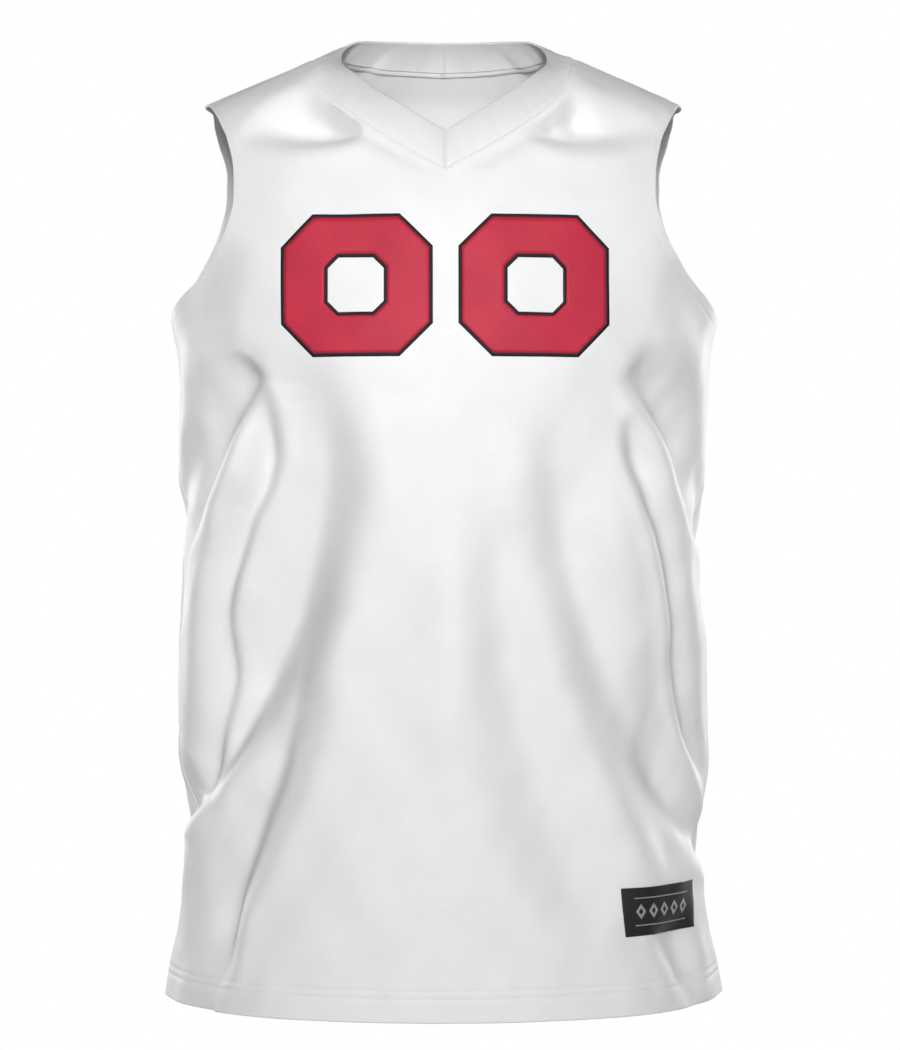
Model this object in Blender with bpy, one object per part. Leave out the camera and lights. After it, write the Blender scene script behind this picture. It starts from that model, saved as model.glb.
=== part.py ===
"""Sleeveless V-neck basketball jersey, adult large, in the hollow form it has when worn.

Sizes are millimetres, turned to metres when the meshes are made. +Z is up, the front
faces -Y and the wearer's left is +X. The origin lies midway between the two shoulder
points, where the shoulder seams meet the neck band: the wearer carries the jersey there.

A place on the cloth is given by its turn and its height. The turn runs round the body
in degrees: 0 is the centre front, 90 the wearer's left side and 180 the centre back.
"""

from typing import NamedTuple

import bmesh
import bpy
import numpy as np

MM = 0.001

# Cloth
PANEL_WALL = 1.8
BAND_WALL = 2.4
TAG_WALL = 0.9
TAG_LIFT = 0.45
SEAM_GAP = 0.3

# Where the panels end
HEM_HEIGHT = -761.0
SIDE_TURN = 90.0
BACK_TURN = 180.0
NECK_POINT_TURN = 70.0

# How lengths round the level rings are turned to degrees and back
RING_STEPS = 48
RING_LENGTH_A_DEGREE = 3.3
ROLLING_STEPS = 12

# How finely the pieces are faceted
PANEL_COLUMNS = 44
SHOULDER_COLUMNS_FRONT = 7
SHOULDER_COLUMNS_BACK = 9
SIDE_ROWS = 26
ARMHOLE_ROWS = 13
BAND_ROWS = 4


class Section(NamedTuple):
    """One level ring of the worn form: its half width, how far the centre front and the
    centre back lie before and behind the origin, and how far behind it the widest points
    lie. Fullness squares the ring."""

    height: float
    half_width: float
    front: float
    back: float
    side_line: float
    fullness: float


SECTIONS = (
    Section(-761.0, 225.5, 136.0, 136.0, 0.0, 0.030),
    Section(-735.0, 221.0, 134.5, 134.0, 0.0, 0.030),
    Section(-705.0, 214.0, 133.0, 131.0, 0.0, 0.030),
    Section(-675.0, 211.0, 132.0, 128.0, 0.0, 0.030),
    Section(-560.0, 210.5, 130.0, 121.0, 0.0, 0.030),
    Section(-440.0, 210.5, 131.0, 117.0, 0.0, 0.030),
    Section(-340.0, 212.0, 133.0, 119.5, 0.0, 0.030),
    Section(-285.0, 213.5, 134.0, 124.0, 0.0, 0.030),
    Section(-250.0, 216.5, 133.5, 127.0, 0.0, 0.030),
    Section(-224.0, 221.5, 131.5, 128.5, 0.0, 0.028),
    Section(-205.0, 225.5, 129.0, 129.0, 0.5, 0.026),
    Section(-170.0, 234.0, 124.0, 127.0, 2.0, 0.022),
    Section(-125.0, 242.0, 114.0, 120.0, 7.0, 0.018),
    Section(-96.5, 241.5, 104.0, 113.0, 11.0, 0.014),
    Section(-66.0, 231.5, 91.5, 104.0, 16.0, 0.010),
    Section(-50.0, 219.0, 83.5, 98.5, 18.5, 0.010),
    Section(-37.0, 200.5, 76.0, 93.0, 20.0, 0.010),
    Section(-28.0, 180.5, 71.0, 89.5, 20.0, 0.010),
    Section(-11.5, 141.0, 63.0, 82.5, 20.0, 0.010),
    Section(5.0, 102.0, 57.0, 76.5, 20.0, 0.010),
    Section(12.0, 85.0, 55.0, 74.0, 20.0, 0.010),
)


class NeckStation(NamedTuple):
    """One place along half of the neck: the height of the band's seam at that turn, and
    where the band's free edge lies, beside, behind and above the origin."""

    turn: float
    seam_height: float
    edge_beside: float
    edge_behind: float
    edge_above: float


NECK = (
    NeckStation(0.0, -103.0, 0.0, -88.0, -71.0),
    NeckStation(7.0, -85.3, 17.0, -83.0, -60.0),
    NeckStation(14.0, -67.8, 41.0, -71.0, -44.0),
    NeckStation(20.0, -52.5, 60.0, -55.0, -29.0),
    NeckStation(27.0, -37.5, 74.0, -37.0, -15.5),
    NeckStation(38.0, -20.5, 80.5, -23.0, -8.5),
    NeckStation(51.0, -8.0, 83.7, -10.0, -2.5),
    NeckStation(70.0, 0.7, 85.0, 5.0, 6.0),
    NeckStation(90.0, 5.4, 82.3, 26.0, 16.5),
    NeckStation(108.0, 9.0, 70.0, 44.0, 25.0),
    NeckStation(135.0, 7.5, 45.0, 57.5, 27.2),
    NeckStation(180.0, 4.7, 0.0, 67.0, 27.6),
)


class ArmholeStation(NamedTuple):
    """One place along the armhole's two edges, from the underarm to the shoulder tip."""

    front_turn: float
    front_height: float
    back_turn: float
    back_height: float


ARMHOLE = (
    ArmholeStation(90.0, -216.0, 90.0, -216.0),
    ArmholeStation(82.5, -214.0, 97.0, -213.5),
    ArmholeStation(75.5, -208.0, 104.0, -206.5),
    ArmholeStation(69.0, -200.5, 110.5, -194.5),
    ArmholeStation(62.0, -192.0, 116.5, -179.0),
    ArmholeStation(55.0, -180.0, 122.0, -162.0),
    ArmholeStation(48.8, -164.0, 127.2, -143.0),
    ArmholeStation(44.5, -145.0, 130.2, -125.0),
    ArmholeStation(42.4, -124.0, 131.0, -108.0),
    ArmholeStation(43.0, -97.0, 130.0, -86.0),
    ArmholeStation(47.0, -72.0, 125.2, -62.5),
    ArmholeStation(54.0, -53.5, 116.5, -45.5),
    ArmholeStation(63.0, -42.5, 101.0, -35.5),
    ArmholeStation(77.0, -35.0, 77.0, -35.0),
)


class FoldStation(NamedTuple):
    """One place along a fold: where its middle runs, how far it spreads to each side
    along the cloth, and how deep it sinks. A ridge has a depth below nought."""

    height: float
    turn: float
    spread: float
    depth: float


FOLDS = (
    # right armpit to the waist
    (
        FoldStation(-420.0, -76.0, 12.0, 0.0),
        FoldStation(-376.0, -64.0, 13.0, 3.5),
        FoldStation(-321.0, -56.0, 14.0, 6.0),
        FoldStation(-282.0, -47.0, 14.0, 4.5),
        FoldStation(-240.0, -44.0, 14.0, 0.0),
    ),
    # right breast to the hip
    (
        FoldStation(-650.0, -70.0, 13.0, 0.0),
        FoldStation(-596.0, -51.0, 14.0, 4.0),
        FoldStation(-515.0, -31.0, 16.0, 5.5),
        FoldStation(-438.0, -25.5, 17.0, 5.5),
        FoldStation(-361.0, -20.5, 17.0, 4.0),
        FoldStation(-270.0, -19.0, 17.0, 0.0),
    ),
    # branch of it to the hem
    (
        FoldStation(-761.0, -54.0, 17.0, 5.0),
        FoldStation(-700.0, -46.0, 15.0, 6.0),
        FoldStation(-632.0, -38.5, 14.0, 4.5),
        FoldStation(-577.0, -31.0, 14.0, 3.0),
        FoldStation(-530.0, -28.0, 14.0, 0.0),
    ),
    # left armpit to the waist
    (
        FoldStation(-460.0, 70.0, 13.0, 0.0),
        FoldStation(-400.0, 64.0, 14.0, 3.5),
        FoldStation(-321.0, 59.0, 15.0, 6.0),
        FoldStation(-282.0, 54.0, 15.0, 4.5),
        FoldStation(-240.0, 50.0, 15.0, 0.0),
    ),
    # left breast to the hem
    (
        FoldStation(-761.0, 58.0, 17.0, 4.5),
        FoldStation(-709.0, 50.0, 15.0, 3.0),
        FoldStation(-649.0, 44.0, 15.0, 2.5),
        FoldStation(-578.0, 34.0, 16.0, 4.5),
        FoldStation(-469.0, 25.0, 16.0, 4.5),
        FoldStation(-392.0, 21.5, 16.0, 3.5),
        FoldStation(-300.0, 19.0, 16.0, 0.0),
    ),
    # middle of the belly
    (
        FoldStation(-720.0, 30.0, 22.0, 0.0),
        FoldStation(-640.0, 21.0, 22.0, 3.0),
        FoldStation(-560.0, 11.0, 20.0, 3.5),
        FoldStation(-468.0, 8.0, 20.0, 2.0),
        FoldStation(-391.0, 5.0, 20.0, 0.0),
    ),
    # back, right shoulder blade to the hem
    (
        FoldStation(-761.0, 229.0, 18.0, 5.0),
        FoldStation(-620.0, 222.0, 17.0, 5.0),
        FoldStation(-480.0, 208.0, 16.0, 4.5),
        FoldStation(-300.0, 203.0, 16.0, 0.0),
    ),
    # back, left shoulder blade to the hem
    (
        FoldStation(-761.0, 127.0, 16.0, 4.0),
        FoldStation(-660.0, 138.0, 17.0, 5.5),
        FoldStation(-500.0, 153.0, 16.0, 4.5),
        FoldStation(-330.0, 158.0, 16.0, 0.0),
    ),
    # back, right armpit to the waist
    (
        FoldStation(-440.0, 249.0, 14.0, 0.0),
        FoldStation(-330.0, 238.0, 15.0, 5.0),
        FoldStation(-235.0, 226.0, 15.0, 0.0),
    ),
    # back, left armpit to the waist
    (
        FoldStation(-460.0, 109.0, 14.0, 0.0),
        FoldStation(-350.0, 121.0, 15.0, 5.0),
        FoldStation(-240.0, 133.0, 15.0, 0.0),
    ),
)

# Where the tag is sewn on, as shares of the way round from the centre front to the side
TAG_SHARES = (0.515, 0.802)
TAG_HEIGHTS = (-700.5, -663.5)


def smooth_curve(keys, values):
    """A function that runs smoothly through values at rising keys, without overshoot."""
    keys = np.asarray(keys, float)
    values = np.asarray(values, float)
    steps = np.diff(keys)
    slopes = np.diff(values) / steps
    products = slopes[:-1] * slopes[1:]
    sums = np.where(products > 0.0, slopes[:-1] + slopes[1:], 1.0)
    inner = np.where(products > 0.0, 2.0 * products / sums, 0.0)
    tangents = np.concatenate([[slopes[0]], inner, [slopes[-1]]])

    def at(x):
        x = np.clip(x, keys[0], keys[-1])
        i = np.clip(np.searchsorted(keys, x, side="right") - 1, 0, len(steps) - 1)
        t = (x - keys[i]) / steps[i]
        return (
            (1.0 + 2.0 * t) * (1.0 - t) ** 2 * values[i]
            + t * (1.0 - t) ** 2 * steps[i] * tangents[i]
            + t * t * (3.0 - 2.0 * t) * values[i + 1]
            + t * t * (t - 1.0) * steps[i] * tangents[i + 1]
        )

    return at


def column_curve(rows, key, value):
    """A smooth curve of one named column of a table against another."""
    return smooth_curve([getattr(r, key) for r in rows], [getattr(r, value) for r in rows])


def station_curve(rows, value):
    """A smooth curve of one named column of a table against the station's number."""
    return smooth_curve(range(len(rows)), [getattr(r, value) for r in rows])


HALF_WIDTH = column_curve(SECTIONS, "height", "half_width")
FRONT = column_curve(SECTIONS, "height", "front")
BACK = column_curve(SECTIONS, "height", "back")
SIDE_LINE = column_curve(SECTIONS, "height", "side_line")
FULLNESS = column_curve(SECTIONS, "height", "fullness")
NECK_SEAM = column_curve(NECK, "turn", "seam_height")
EDGE_BESIDE = column_curve(NECK, "turn", "edge_beside")
EDGE_BEHIND = column_curve(NECK, "turn", "edge_behind")
EDGE_ABOVE = column_curve(NECK, "turn", "edge_above")
FOLD_CURVES = tuple(
    (
        fold[0].height,
        fold[-1].height,
        column_curve(fold, "height", "turn"),
        column_curve(fold, "height", "spread"),
        column_curve(fold, "height", "depth"),
    )
    for fold in FOLDS
)


def worn_form(turn, height):
    """Points of the smooth worn form, in millimetres."""
    angle = np.radians(turn)
    side, ahead = np.sin(angle), np.cos(angle)
    fuller = 1.0 + FULLNESS(height) * np.sin(2.0 * angle) ** 2
    line = SIDE_LINE(height)
    depth = np.where(ahead > 0.0, FRONT(height) + line, BACK(height) - line)
    x = HALF_WIDTH(height) * side * fuller
    y = line - depth * ahead * fuller
    return np.stack([x, y, height + 0.0 * x], axis=-1)


def normals_of(surface, turn, height):
    """Outward unit normals of a surface given by turn and height."""
    around = surface(turn + 0.05, height) - surface(turn - 0.05, height)
    upward = surface(turn, height + 0.2) - surface(turn, height - 0.2)
    normal = np.cross(around, upward)
    return normal / np.linalg.norm(normal, axis=-1, keepdims=True)


def sunk(turn, height):
    """How deep the folds sink the cloth at each place."""
    around = np.linalg.norm(worn_form(turn + 0.5, height) - worn_form(turn - 0.5, height), axis=-1)
    total = np.zeros_like(around)
    for low, high, middle, spread, depth in FOLD_CURVES:
        away = (np.mod(turn - middle(height) + 180.0, 360.0) - 180.0) * around
        reach = (away / spread(height)) ** 2
        inside = np.where((height >= low) & (height <= high), 1.0, 0.0)
        total += inside * depth(height) * np.exp(-reach)
    return total


def cloth(turn, height):
    """Points of the cloth's outer face, in millimetres."""
    turn = np.asarray(turn, float)
    height = np.asarray(height, float)
    form = worn_form(turn, height)
    return form - normals_of(worn_form, turn, height) * sunk(turn, height)[..., None]


def evenly(turn, height, count):
    """Places at even steps of length along a line on the worn form."""
    points = worn_form(turn, height)
    steps = np.linalg.norm(np.diff(points, axis=0), axis=-1)
    length = np.concatenate([[0.0], np.cumsum(steps)])
    marks = np.linspace(0.0, length[-1], count)
    return np.interp(marks, length, turn), np.interp(marks, length, height)


def armhole_edge(side):
    """Turns and heights along one edge of the armhole, from the underarm upward."""
    station = np.linspace(0.0, len(ARMHOLE) - 1.0, 241)
    turn = station_curve(ARMHOLE, side + "_turn")(station)
    height = station_curve(ARMHOLE, side + "_height")(station)
    return evenly(turn, height, ARMHOLE_ROWS + 1)


def side_edge(side):
    """Turns and heights of a panel's side, from the hem to the shoulder tip."""
    turn, height = armhole_edge(side)
    seam = np.linspace(HEM_HEIGHT, height[0], SIDE_ROWS + 1)[:-1]
    return np.concatenate([np.full(SIDE_ROWS, SIDE_TURN), turn]), np.concatenate([seam, height])


def half_neck(side):
    """Turns and heights along a panel's neck edge, from its middle to the neck point."""
    middle = 0.0 if side == "front" else BACK_TURN
    shoulder_columns = SHOULDER_COLUMNS_FRONT if side == "front" else SHOULDER_COLUMNS_BACK
    turn = np.linspace(middle, NECK_POINT_TURN, 161)
    return evenly(turn, NECK_SEAM(turn), PANEL_COLUMNS // 2 - shoulder_columns + 1)


def half_top(side):
    """Turns and heights of half of a panel's top: the neck from its middle, then the
    shoulder seam out to the tip."""
    shoulder_columns = SHOULDER_COLUMNS_FRONT if side == "front" else SHOULDER_COLUMNS_BACK
    tip = ARMHOLE[-1]
    seam_turn = np.linspace(NECK_POINT_TURN, tip.front_turn, 41)
    seam_height = np.linspace(NECK_SEAM(NECK_POINT_TURN), tip.front_height, 41)
    neck = half_neck(side)
    shoulder = evenly(seam_turn, seam_height, shoulder_columns + 1)
    return np.append(neck[0], shoulder[0][1:]), np.append(neck[1], shoulder[1][1:])


def unrolled(turn, height, middle):
    """Lengths round the level rings from the middle of a panel."""
    share = np.linspace(0.0, 1.0, RING_STEPS + 1).reshape((-1,) + (1,) * np.ndim(turn))
    points = worn_form(middle + (turn - middle) * share, height + 0.0 * share)
    return np.linalg.norm(np.diff(points, axis=0), axis=-1).sum(axis=0)


def rolled(length, height, middle):
    """The turns that lie those lengths round the level rings from the middle."""
    way = 1.0 if middle == 0.0 else -1.0
    turn = middle + way * length / RING_LENGTH_A_DEGREE
    for _ in range(ROLLING_STEPS):
        step = worn_form(turn + 0.05, height) - worn_form(turn - 0.05, height)
        rate = np.linalg.norm(step, axis=-1) / 0.1
        turn = turn + way * (length - unrolled(turn, height, middle)) / rate
    return turn


def panel_places(side):
    """Turns and heights of the front or the back panel, by rows from the hem upward."""
    middle = 0.0 if side == "front" else BACK_TURN
    edge_turn, edge_height = side_edge(side)
    top_turn, top_height = half_top(side)
    edge = unrolled(edge_turn, edge_height, middle)
    top = unrolled(top_turn, top_height, middle)
    across = np.linspace(0.0, 1.0, PANEL_COLUMNS // 2 + 1)
    raised = np.clip(np.arange(-SIDE_ROWS, ARMHOLE_ROWS + 1) / ARMHOLE_ROWS, 0.0, 1.0)
    centre_height = np.where(
        raised > 0.0,
        edge_height[SIDE_ROWS] + raised * (top_height[0] - edge_height[SIDE_ROWS]),
        edge_height,
    )
    drawn = raised[:, None] ** 2
    length = edge[:, None] * across + drawn * (top - edge[-1] * across)
    height = centre_height[:, None] + (edge_height - centre_height)[:, None] * across
    height += drawn * (top_height - top_height[0] - (edge_height[-1] - top_height[0]) * across)
    turn = rolled(length, height, middle)
    other_turn = 2.0 * middle - turn
    if side == "front":
        return np.hstack([other_turn[:, :0:-1], turn]), np.hstack([height[:, :0:-1], height])
    return np.hstack([turn[:, :0:-1], other_turn]), np.hstack([height[:, :0:-1], height])


def drawn_in(points, amount):
    """The same grid with its edges brought inward by an amount."""
    grid = points.copy()
    for first, second in ((0, 1), (-1, -2)):
        step = points[second] - points[first]
        grid[first] += amount * step / np.linalg.norm(step, axis=-1, keepdims=True)
        step = grid[:, second] - grid[:, first]
        grid[:, first] += amount * step / np.linalg.norm(step, axis=-1, keepdims=True)
    return grid


def panel(side):
    """Outer points and outward normals of a panel."""
    turn, height = panel_places(side)
    return drawn_in(cloth(turn, height), SEAM_GAP / 2.0), normals_of(cloth, turn, height)


def band():
    """Outer points and outward normals of the neck band, from its seam to its free edge."""
    front_turn, front_height = half_neck("front")
    back_turn, back_height = half_neck("back")
    turn = np.append(front_turn, back_turn[-2::-1])
    height = np.append(front_height, back_height[-2::-1])
    turn = np.concatenate([-turn[:0:-1], turn[:-1]])
    height = np.concatenate([height[:0:-1], height[:-1]])
    seam = cloth(turn, height)
    away = np.abs(turn)
    edge = np.stack(
        [np.sign(turn) * EDGE_BESIDE(away), EDGE_BEHIND(away), EDGE_ABOVE(away)], axis=-1
    )
    across = np.linspace(0.0, 1.0, BAND_ROWS + 1)[:, None, None]
    points = seam + across * (edge - seam)
    along = np.roll(points, -1, axis=1) - np.roll(points, 1, axis=1)
    normal = np.cross(along, edge - seam)
    normal /= np.linalg.norm(normal, axis=-1, keepdims=True)
    points += normal * 1.5 * 4.0 * across * (1.0 - across)
    step = points[1] - points[0]
    points[0] += SEAM_GAP / 2.0 * step / np.linalg.norm(step, axis=-1, keepdims=True)
    normal[0] = normals_of(cloth, turn, height)
    return points, normal


def lines_between(ends, lines):
    """The two ends and every line of the panel's grid between them."""
    inside = lines[(lines > ends[0] * 1.002) & (lines < ends[1] * 0.998)]
    return np.concatenate([[ends[0]], inside, [ends[1]]])


def tag():
    """Points of the front panel below the tag, with their normals."""
    half = PANEL_COLUMNS // 2
    rows = np.linspace(HEM_HEIGHT, side_edge("front")[1][SIDE_ROWS], SIDE_ROWS + 1)
    shares = lines_between(TAG_SHARES, np.linspace(0.0, 1.0, half + 1))
    low, high = TAG_HEIGHTS
    heights = np.concatenate([[low], rows[(rows > low + 1.0) & (rows < high - 1.0)], [high]])
    column = (half + shares * half)[None, :, None]
    row = np.interp(heights, rows, np.arange(SIDE_ROWS + 1))[:, None, None]
    c, r = np.floor(column).astype(int)[..., 0], np.floor(row).astype(int)[..., 0]
    across, up = column - c[..., None], row - r[..., None]
    sampled = []
    for grid in panel("front"):
        low = grid[r, c] * (1.0 - across) + grid[r, c + 1] * across
        high = grid[r + 1, c] * (1.0 - across) + grid[r + 1, c + 1] * across
        sampled.append(low * (1.0 - up) + high * up)
    return sampled


def shell(name, outer, inner, closed, finish):
    """A closed body between two like grids, joined round their edges."""
    rows, columns = outer.shape[:2]
    mesh = bpy.data.meshes.new(name)
    body = bmesh.new()
    verts = [body.verts.new(p) for p in np.concatenate([outer, inner]).reshape(-1, 3) * MM]
    under = rows * columns
    last = columns if closed else columns - 1
    for r in range(rows - 1):
        for c in range(last):
            a, b = r * columns + c, r * columns + (c + 1) % columns
            d, e = a + columns, b + columns
            body.faces.new((verts[a], verts[b], verts[e], verts[d]))
            body.faces.new((verts[a + under], verts[d + under], verts[e + under], verts[b + under]))
    rims = [(c, (c + 1) % columns) for c in range(last)]
    top = (rows - 1) * columns
    rims += [(top + (c + 1) % columns, top + c) for c in range(last)]
    if not closed:
        rims += [((r + 1) * columns, r * columns) for r in range(rows - 1)]
        rims += [(r * columns + last, (r + 1) * columns + last) for r in range(rows - 1)]
    for a, b in rims:
        body.faces.new((verts[b], verts[a], verts[a + under], verts[b + under]))
    bmesh.ops.triangulate(body, faces=body.faces[:])
    body.to_mesh(mesh)
    body.free()
    mesh.materials.append(finish)
    thing = bpy.data.objects.new(name, mesh)
    bpy.context.collection.objects.link(thing)
    return thing


def finish(name, colour, roughness):
    material = bpy.data.materials.new(name)
    material.use_nodes = True
    principled = material.node_tree.nodes["Principled BSDF"]
    principled.inputs["Base Color"].default_value = colour
    principled.inputs["Roughness"].default_value = roughness
    return material


def build():
    for thing in list(bpy.data.objects):
        bpy.data.objects.remove(thing, do_unlink=True)

    for side in ("front", "back"):
        points, normal = panel(side)
        white = finish(side + "_cloth", (0.86, 0.86, 0.86, 1.0), 0.55)
        shell(side + "_panel", points, points - normal * PANEL_WALL, False, white)

    points, normal = band()
    white = finish("band_cloth", (0.84, 0.84, 0.84, 1.0), 0.6)
    shell("neck_band", points, points - normal * BAND_WALL, True, white)

    points, normal = tag()
    black = finish("tag_cloth", (0.02, 0.02, 0.022, 1.0), 0.7)
    lifted = points + normal * TAG_LIFT
    shell("hem_tag", lifted + normal * TAG_WALL, lifted, False, black)


build()
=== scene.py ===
"""A sleeveless V-neck basketball jersey in its worn form, dressed over its plain frame.

Lengths are millimetres until a mesh is made, and turns are degrees. A place on the cloth
is given by its turn, which runs round the body from 0 at the centre front through 90 at
the wearer's left side to 180 at the centre back, and by its height above the origin,
where the wearer's shoulders carry the jersey. +Z is up and the front faces -Y.
"""

import logging
from dataclasses import dataclass
from enum import Enum
from math import cos, pi, radians, sin
from typing import Callable, NamedTuple, Sequence

import bpy
import numpy as np
from mathutils.geometry import delaunay_2d_cdt
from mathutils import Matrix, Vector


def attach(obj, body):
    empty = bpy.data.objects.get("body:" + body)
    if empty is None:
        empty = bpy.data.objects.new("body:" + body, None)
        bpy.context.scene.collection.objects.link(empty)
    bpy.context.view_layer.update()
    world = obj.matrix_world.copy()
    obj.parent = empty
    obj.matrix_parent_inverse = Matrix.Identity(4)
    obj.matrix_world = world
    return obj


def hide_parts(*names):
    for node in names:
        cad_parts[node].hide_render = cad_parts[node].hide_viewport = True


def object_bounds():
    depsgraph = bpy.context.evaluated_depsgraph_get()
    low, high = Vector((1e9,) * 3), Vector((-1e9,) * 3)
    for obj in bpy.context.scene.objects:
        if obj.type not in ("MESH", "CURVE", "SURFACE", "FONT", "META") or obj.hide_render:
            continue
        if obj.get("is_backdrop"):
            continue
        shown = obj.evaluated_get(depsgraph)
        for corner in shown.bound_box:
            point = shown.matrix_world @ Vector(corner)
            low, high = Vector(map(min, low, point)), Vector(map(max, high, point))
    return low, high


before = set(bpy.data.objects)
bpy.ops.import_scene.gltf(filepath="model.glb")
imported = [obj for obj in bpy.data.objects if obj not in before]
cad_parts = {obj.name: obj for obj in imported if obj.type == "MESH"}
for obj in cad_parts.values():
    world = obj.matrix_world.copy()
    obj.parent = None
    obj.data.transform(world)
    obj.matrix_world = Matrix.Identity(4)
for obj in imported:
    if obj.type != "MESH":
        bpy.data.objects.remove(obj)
CAD_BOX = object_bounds()

LOG = logging.getLogger("jersey")
Array = np.ndarray
Curve = Callable[[Array], Array]
Colour = tuple[float, float, float, float]
Pair = tuple[float, float]
Rows = tuple[tuple[float, float, float, float], ...]
Line = tuple[Array, Array]
Lines = list[Line]
Material = bpy.types.Material
Piece = bpy.types.Object
Node = bpy.types.Node
NodeTree = bpy.types.NodeTree
NodeSocket = bpy.types.NodeSocket

MM = 0.001
TINY = 1.0e-12
TURN_NUDGE = 0.08
HEIGHT_NUDGE = 0.25
BODY = "root"
WRONG_SIDE = "wrong_side"
HEM_HEIGHT = -761.0
SIDE_TURN = 90.0
BACK_TURN = 180.0
HALF_TURN = 180.0
NECK_POINT_TURN = 70.0
SEAM_GAP = 0.3


class Section(NamedTuple):
    """One level ring of the worn form: its half width, how far the centre front and the
    centre back lie before and behind the origin, and how far behind it the widest points
    lie. Fullness squares the ring."""

    height: float
    half_width: float
    front: float
    back: float
    side_line: float
    fullness: float


SECTIONS = tuple(Section(*row) for row in (
    (-761.0, 225.5, 136.0, 136.0, 0.0, 0.030),
    (-735.0, 221.0, 134.5, 134.0, 0.0, 0.030),
    (-705.0, 214.0, 133.0, 131.0, 0.0, 0.030),
    (-675.0, 211.0, 132.0, 128.0, 0.0, 0.030),
    (-560.0, 210.5, 130.0, 121.0, 0.0, 0.030),
    (-440.0, 210.5, 131.0, 117.0, 0.0, 0.030),
    (-340.0, 212.0, 133.0, 119.5, 0.0, 0.030),
    (-285.0, 213.5, 134.0, 124.0, 0.0, 0.030),
    (-250.0, 216.5, 133.5, 127.0, 0.0, 0.030),
    (-224.0, 221.5, 131.5, 128.5, 0.0, 0.028),
    (-205.0, 225.5, 129.0, 129.0, 0.5, 0.026),
    (-170.0, 234.0, 124.0, 127.0, 2.0, 0.022),
    (-125.0, 242.0, 114.0, 120.0, 7.0, 0.018),
    (-96.5, 241.5, 104.0, 113.0, 11.0, 0.014),
    (-66.0, 231.5, 91.5, 104.0, 16.0, 0.010),
    (-50.0, 219.0, 83.5, 98.5, 18.5, 0.010),
    (-37.0, 200.5, 76.0, 93.0, 20.0, 0.010),
    (-28.0, 180.5, 71.0, 89.5, 20.0, 0.010),
    (-11.5, 141.0, 63.0, 82.5, 20.0, 0.010),
    (5.0, 102.0, 57.0, 76.5, 20.0, 0.010),
    (12.0, 85.0, 55.0, 74.0, 20.0, 0.010),
))


class NeckStation(NamedTuple):
    """One place along half of the neck: the height of the band's seam at that turn, and
    where the band's free edge lies, beside, behind and above the origin."""

    turn: float
    seam_height: float
    edge_beside: float
    edge_behind: float
    edge_above: float


NECK = tuple(NeckStation(*row) for row in (
    (0.0, -103.0, 0.0, -88.0, -71.0),
    (7.0, -85.3, 17.0, -83.0, -60.0),
    (14.0, -67.8, 41.0, -71.0, -44.0),
    (20.0, -52.5, 60.0, -55.0, -29.0),
    (27.0, -37.5, 74.0, -37.0, -15.5),
    (38.0, -20.5, 80.5, -23.0, -8.5),
    (51.0, -8.0, 83.7, -10.0, -2.5),
    (70.0, 0.7, 85.0, 5.0, 6.0),
    (90.0, 5.4, 82.3, 26.0, 16.5),
    (108.0, 9.0, 70.0, 44.0, 25.0),
    (135.0, 7.5, 45.0, 57.5, 27.2),
    (180.0, 4.7, 0.0, 67.0, 27.6),
))


class ArmholeStation(NamedTuple):
    """One place along the armhole's two edges, from the underarm to the shoulder tip."""

    front_turn: float
    front_height: float
    back_turn: float
    back_height: float


ARMHOLE = tuple(ArmholeStation(*row) for row in (
    (90.0, -216.0, 90.0, -216.0),
    (82.5, -214.0, 97.0, -213.5),
    (75.5, -208.0, 104.0, -206.5),
    (69.0, -200.5, 110.5, -194.5),
    (62.0, -192.0, 116.5, -179.0),
    (55.0, -180.0, 122.0, -162.0),
    (48.8, -164.0, 127.2, -143.0),
    (44.5, -145.0, 130.2, -125.0),
    (42.4, -124.0, 131.0, -108.0),
    (43.0, -97.0, 130.0, -86.0),
    (47.0, -72.0, 125.2, -62.5),
    (54.0, -53.5, 116.5, -45.5),
    (63.0, -42.5, 101.0, -35.5),
    (77.0, -35.0, 77.0, -35.0),
))


class Side(Enum):
    """The two panels, each named by its side of the body."""

    FRONT = "front"
    BACK = "back"

    @property
    def middle(self) -> float:
        """The turn of the panel's centre line."""
        return 0.0 if self is Side.FRONT else BACK_TURN

    @property
    def way(self) -> float:
        """The way in which turns run from the centre line to the wearer's left side."""
        return 1.0 if self is Side.FRONT else -1.0


# How a crease dips across its line: its point and its raised shoulders, in spreads
POINT_STEEPNESS = 1.7
POINT_ROUNDING = 0.06
POINT_START = 0.245
SHOULDER_PLACE = 1.9
SHOULDER_STEEPNESS = 1.5


class Profile(Enum):
    """How a crease dips across its line: its sharpness and its raised shoulders."""

    SOFT = (0.0, 0.16)
    SHARP = (1.0, 0.26)

    def dip(self, across: Array) -> Array:
        """Find how far the cloth dips beside a crease's bottom.

        Args:
            across: Distances across, counted in spreads.

        Returns:
            The shares of the depth there.
        """
        sharpness, shoulder = self.value
        smooth = np.exp(-across**2)
        pointed = np.exp(-POINT_STEEPNESS * (np.sqrt(across**2 + POINT_ROUNDING) - POINT_START))
        raised = np.exp(-SHOULDER_STEEPNESS * (np.abs(across) - SHOULDER_PLACE) ** 2)
        return smooth + sharpness * (pointed - smooth) - shoulder * raised


class Laid(NamedTuple):
    """One place along a crease: where its line runs, how far it spreads to each side,
    and how deep it sinks. A ridge has a depth below nought."""

    turn: float
    height: float
    spread: float
    depth: float


class Crease(NamedTuple):
    """One crease of the cloth. One that leans has its steep flank on its line and its
    bottom beside it: to the left of the line, which is widened, if the lean is above
    nought, and to the right if it is below. It runs through its marks and then through
    its laid places. A laid place is a row as of Laid, and a mark has instead of the turn
    and the height how far across and down it lies on the print of the front view."""

    name: str
    lean: float
    profile: Profile = Profile.SOFT
    marks: Rows = ()
    laid: Rows = ()


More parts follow.
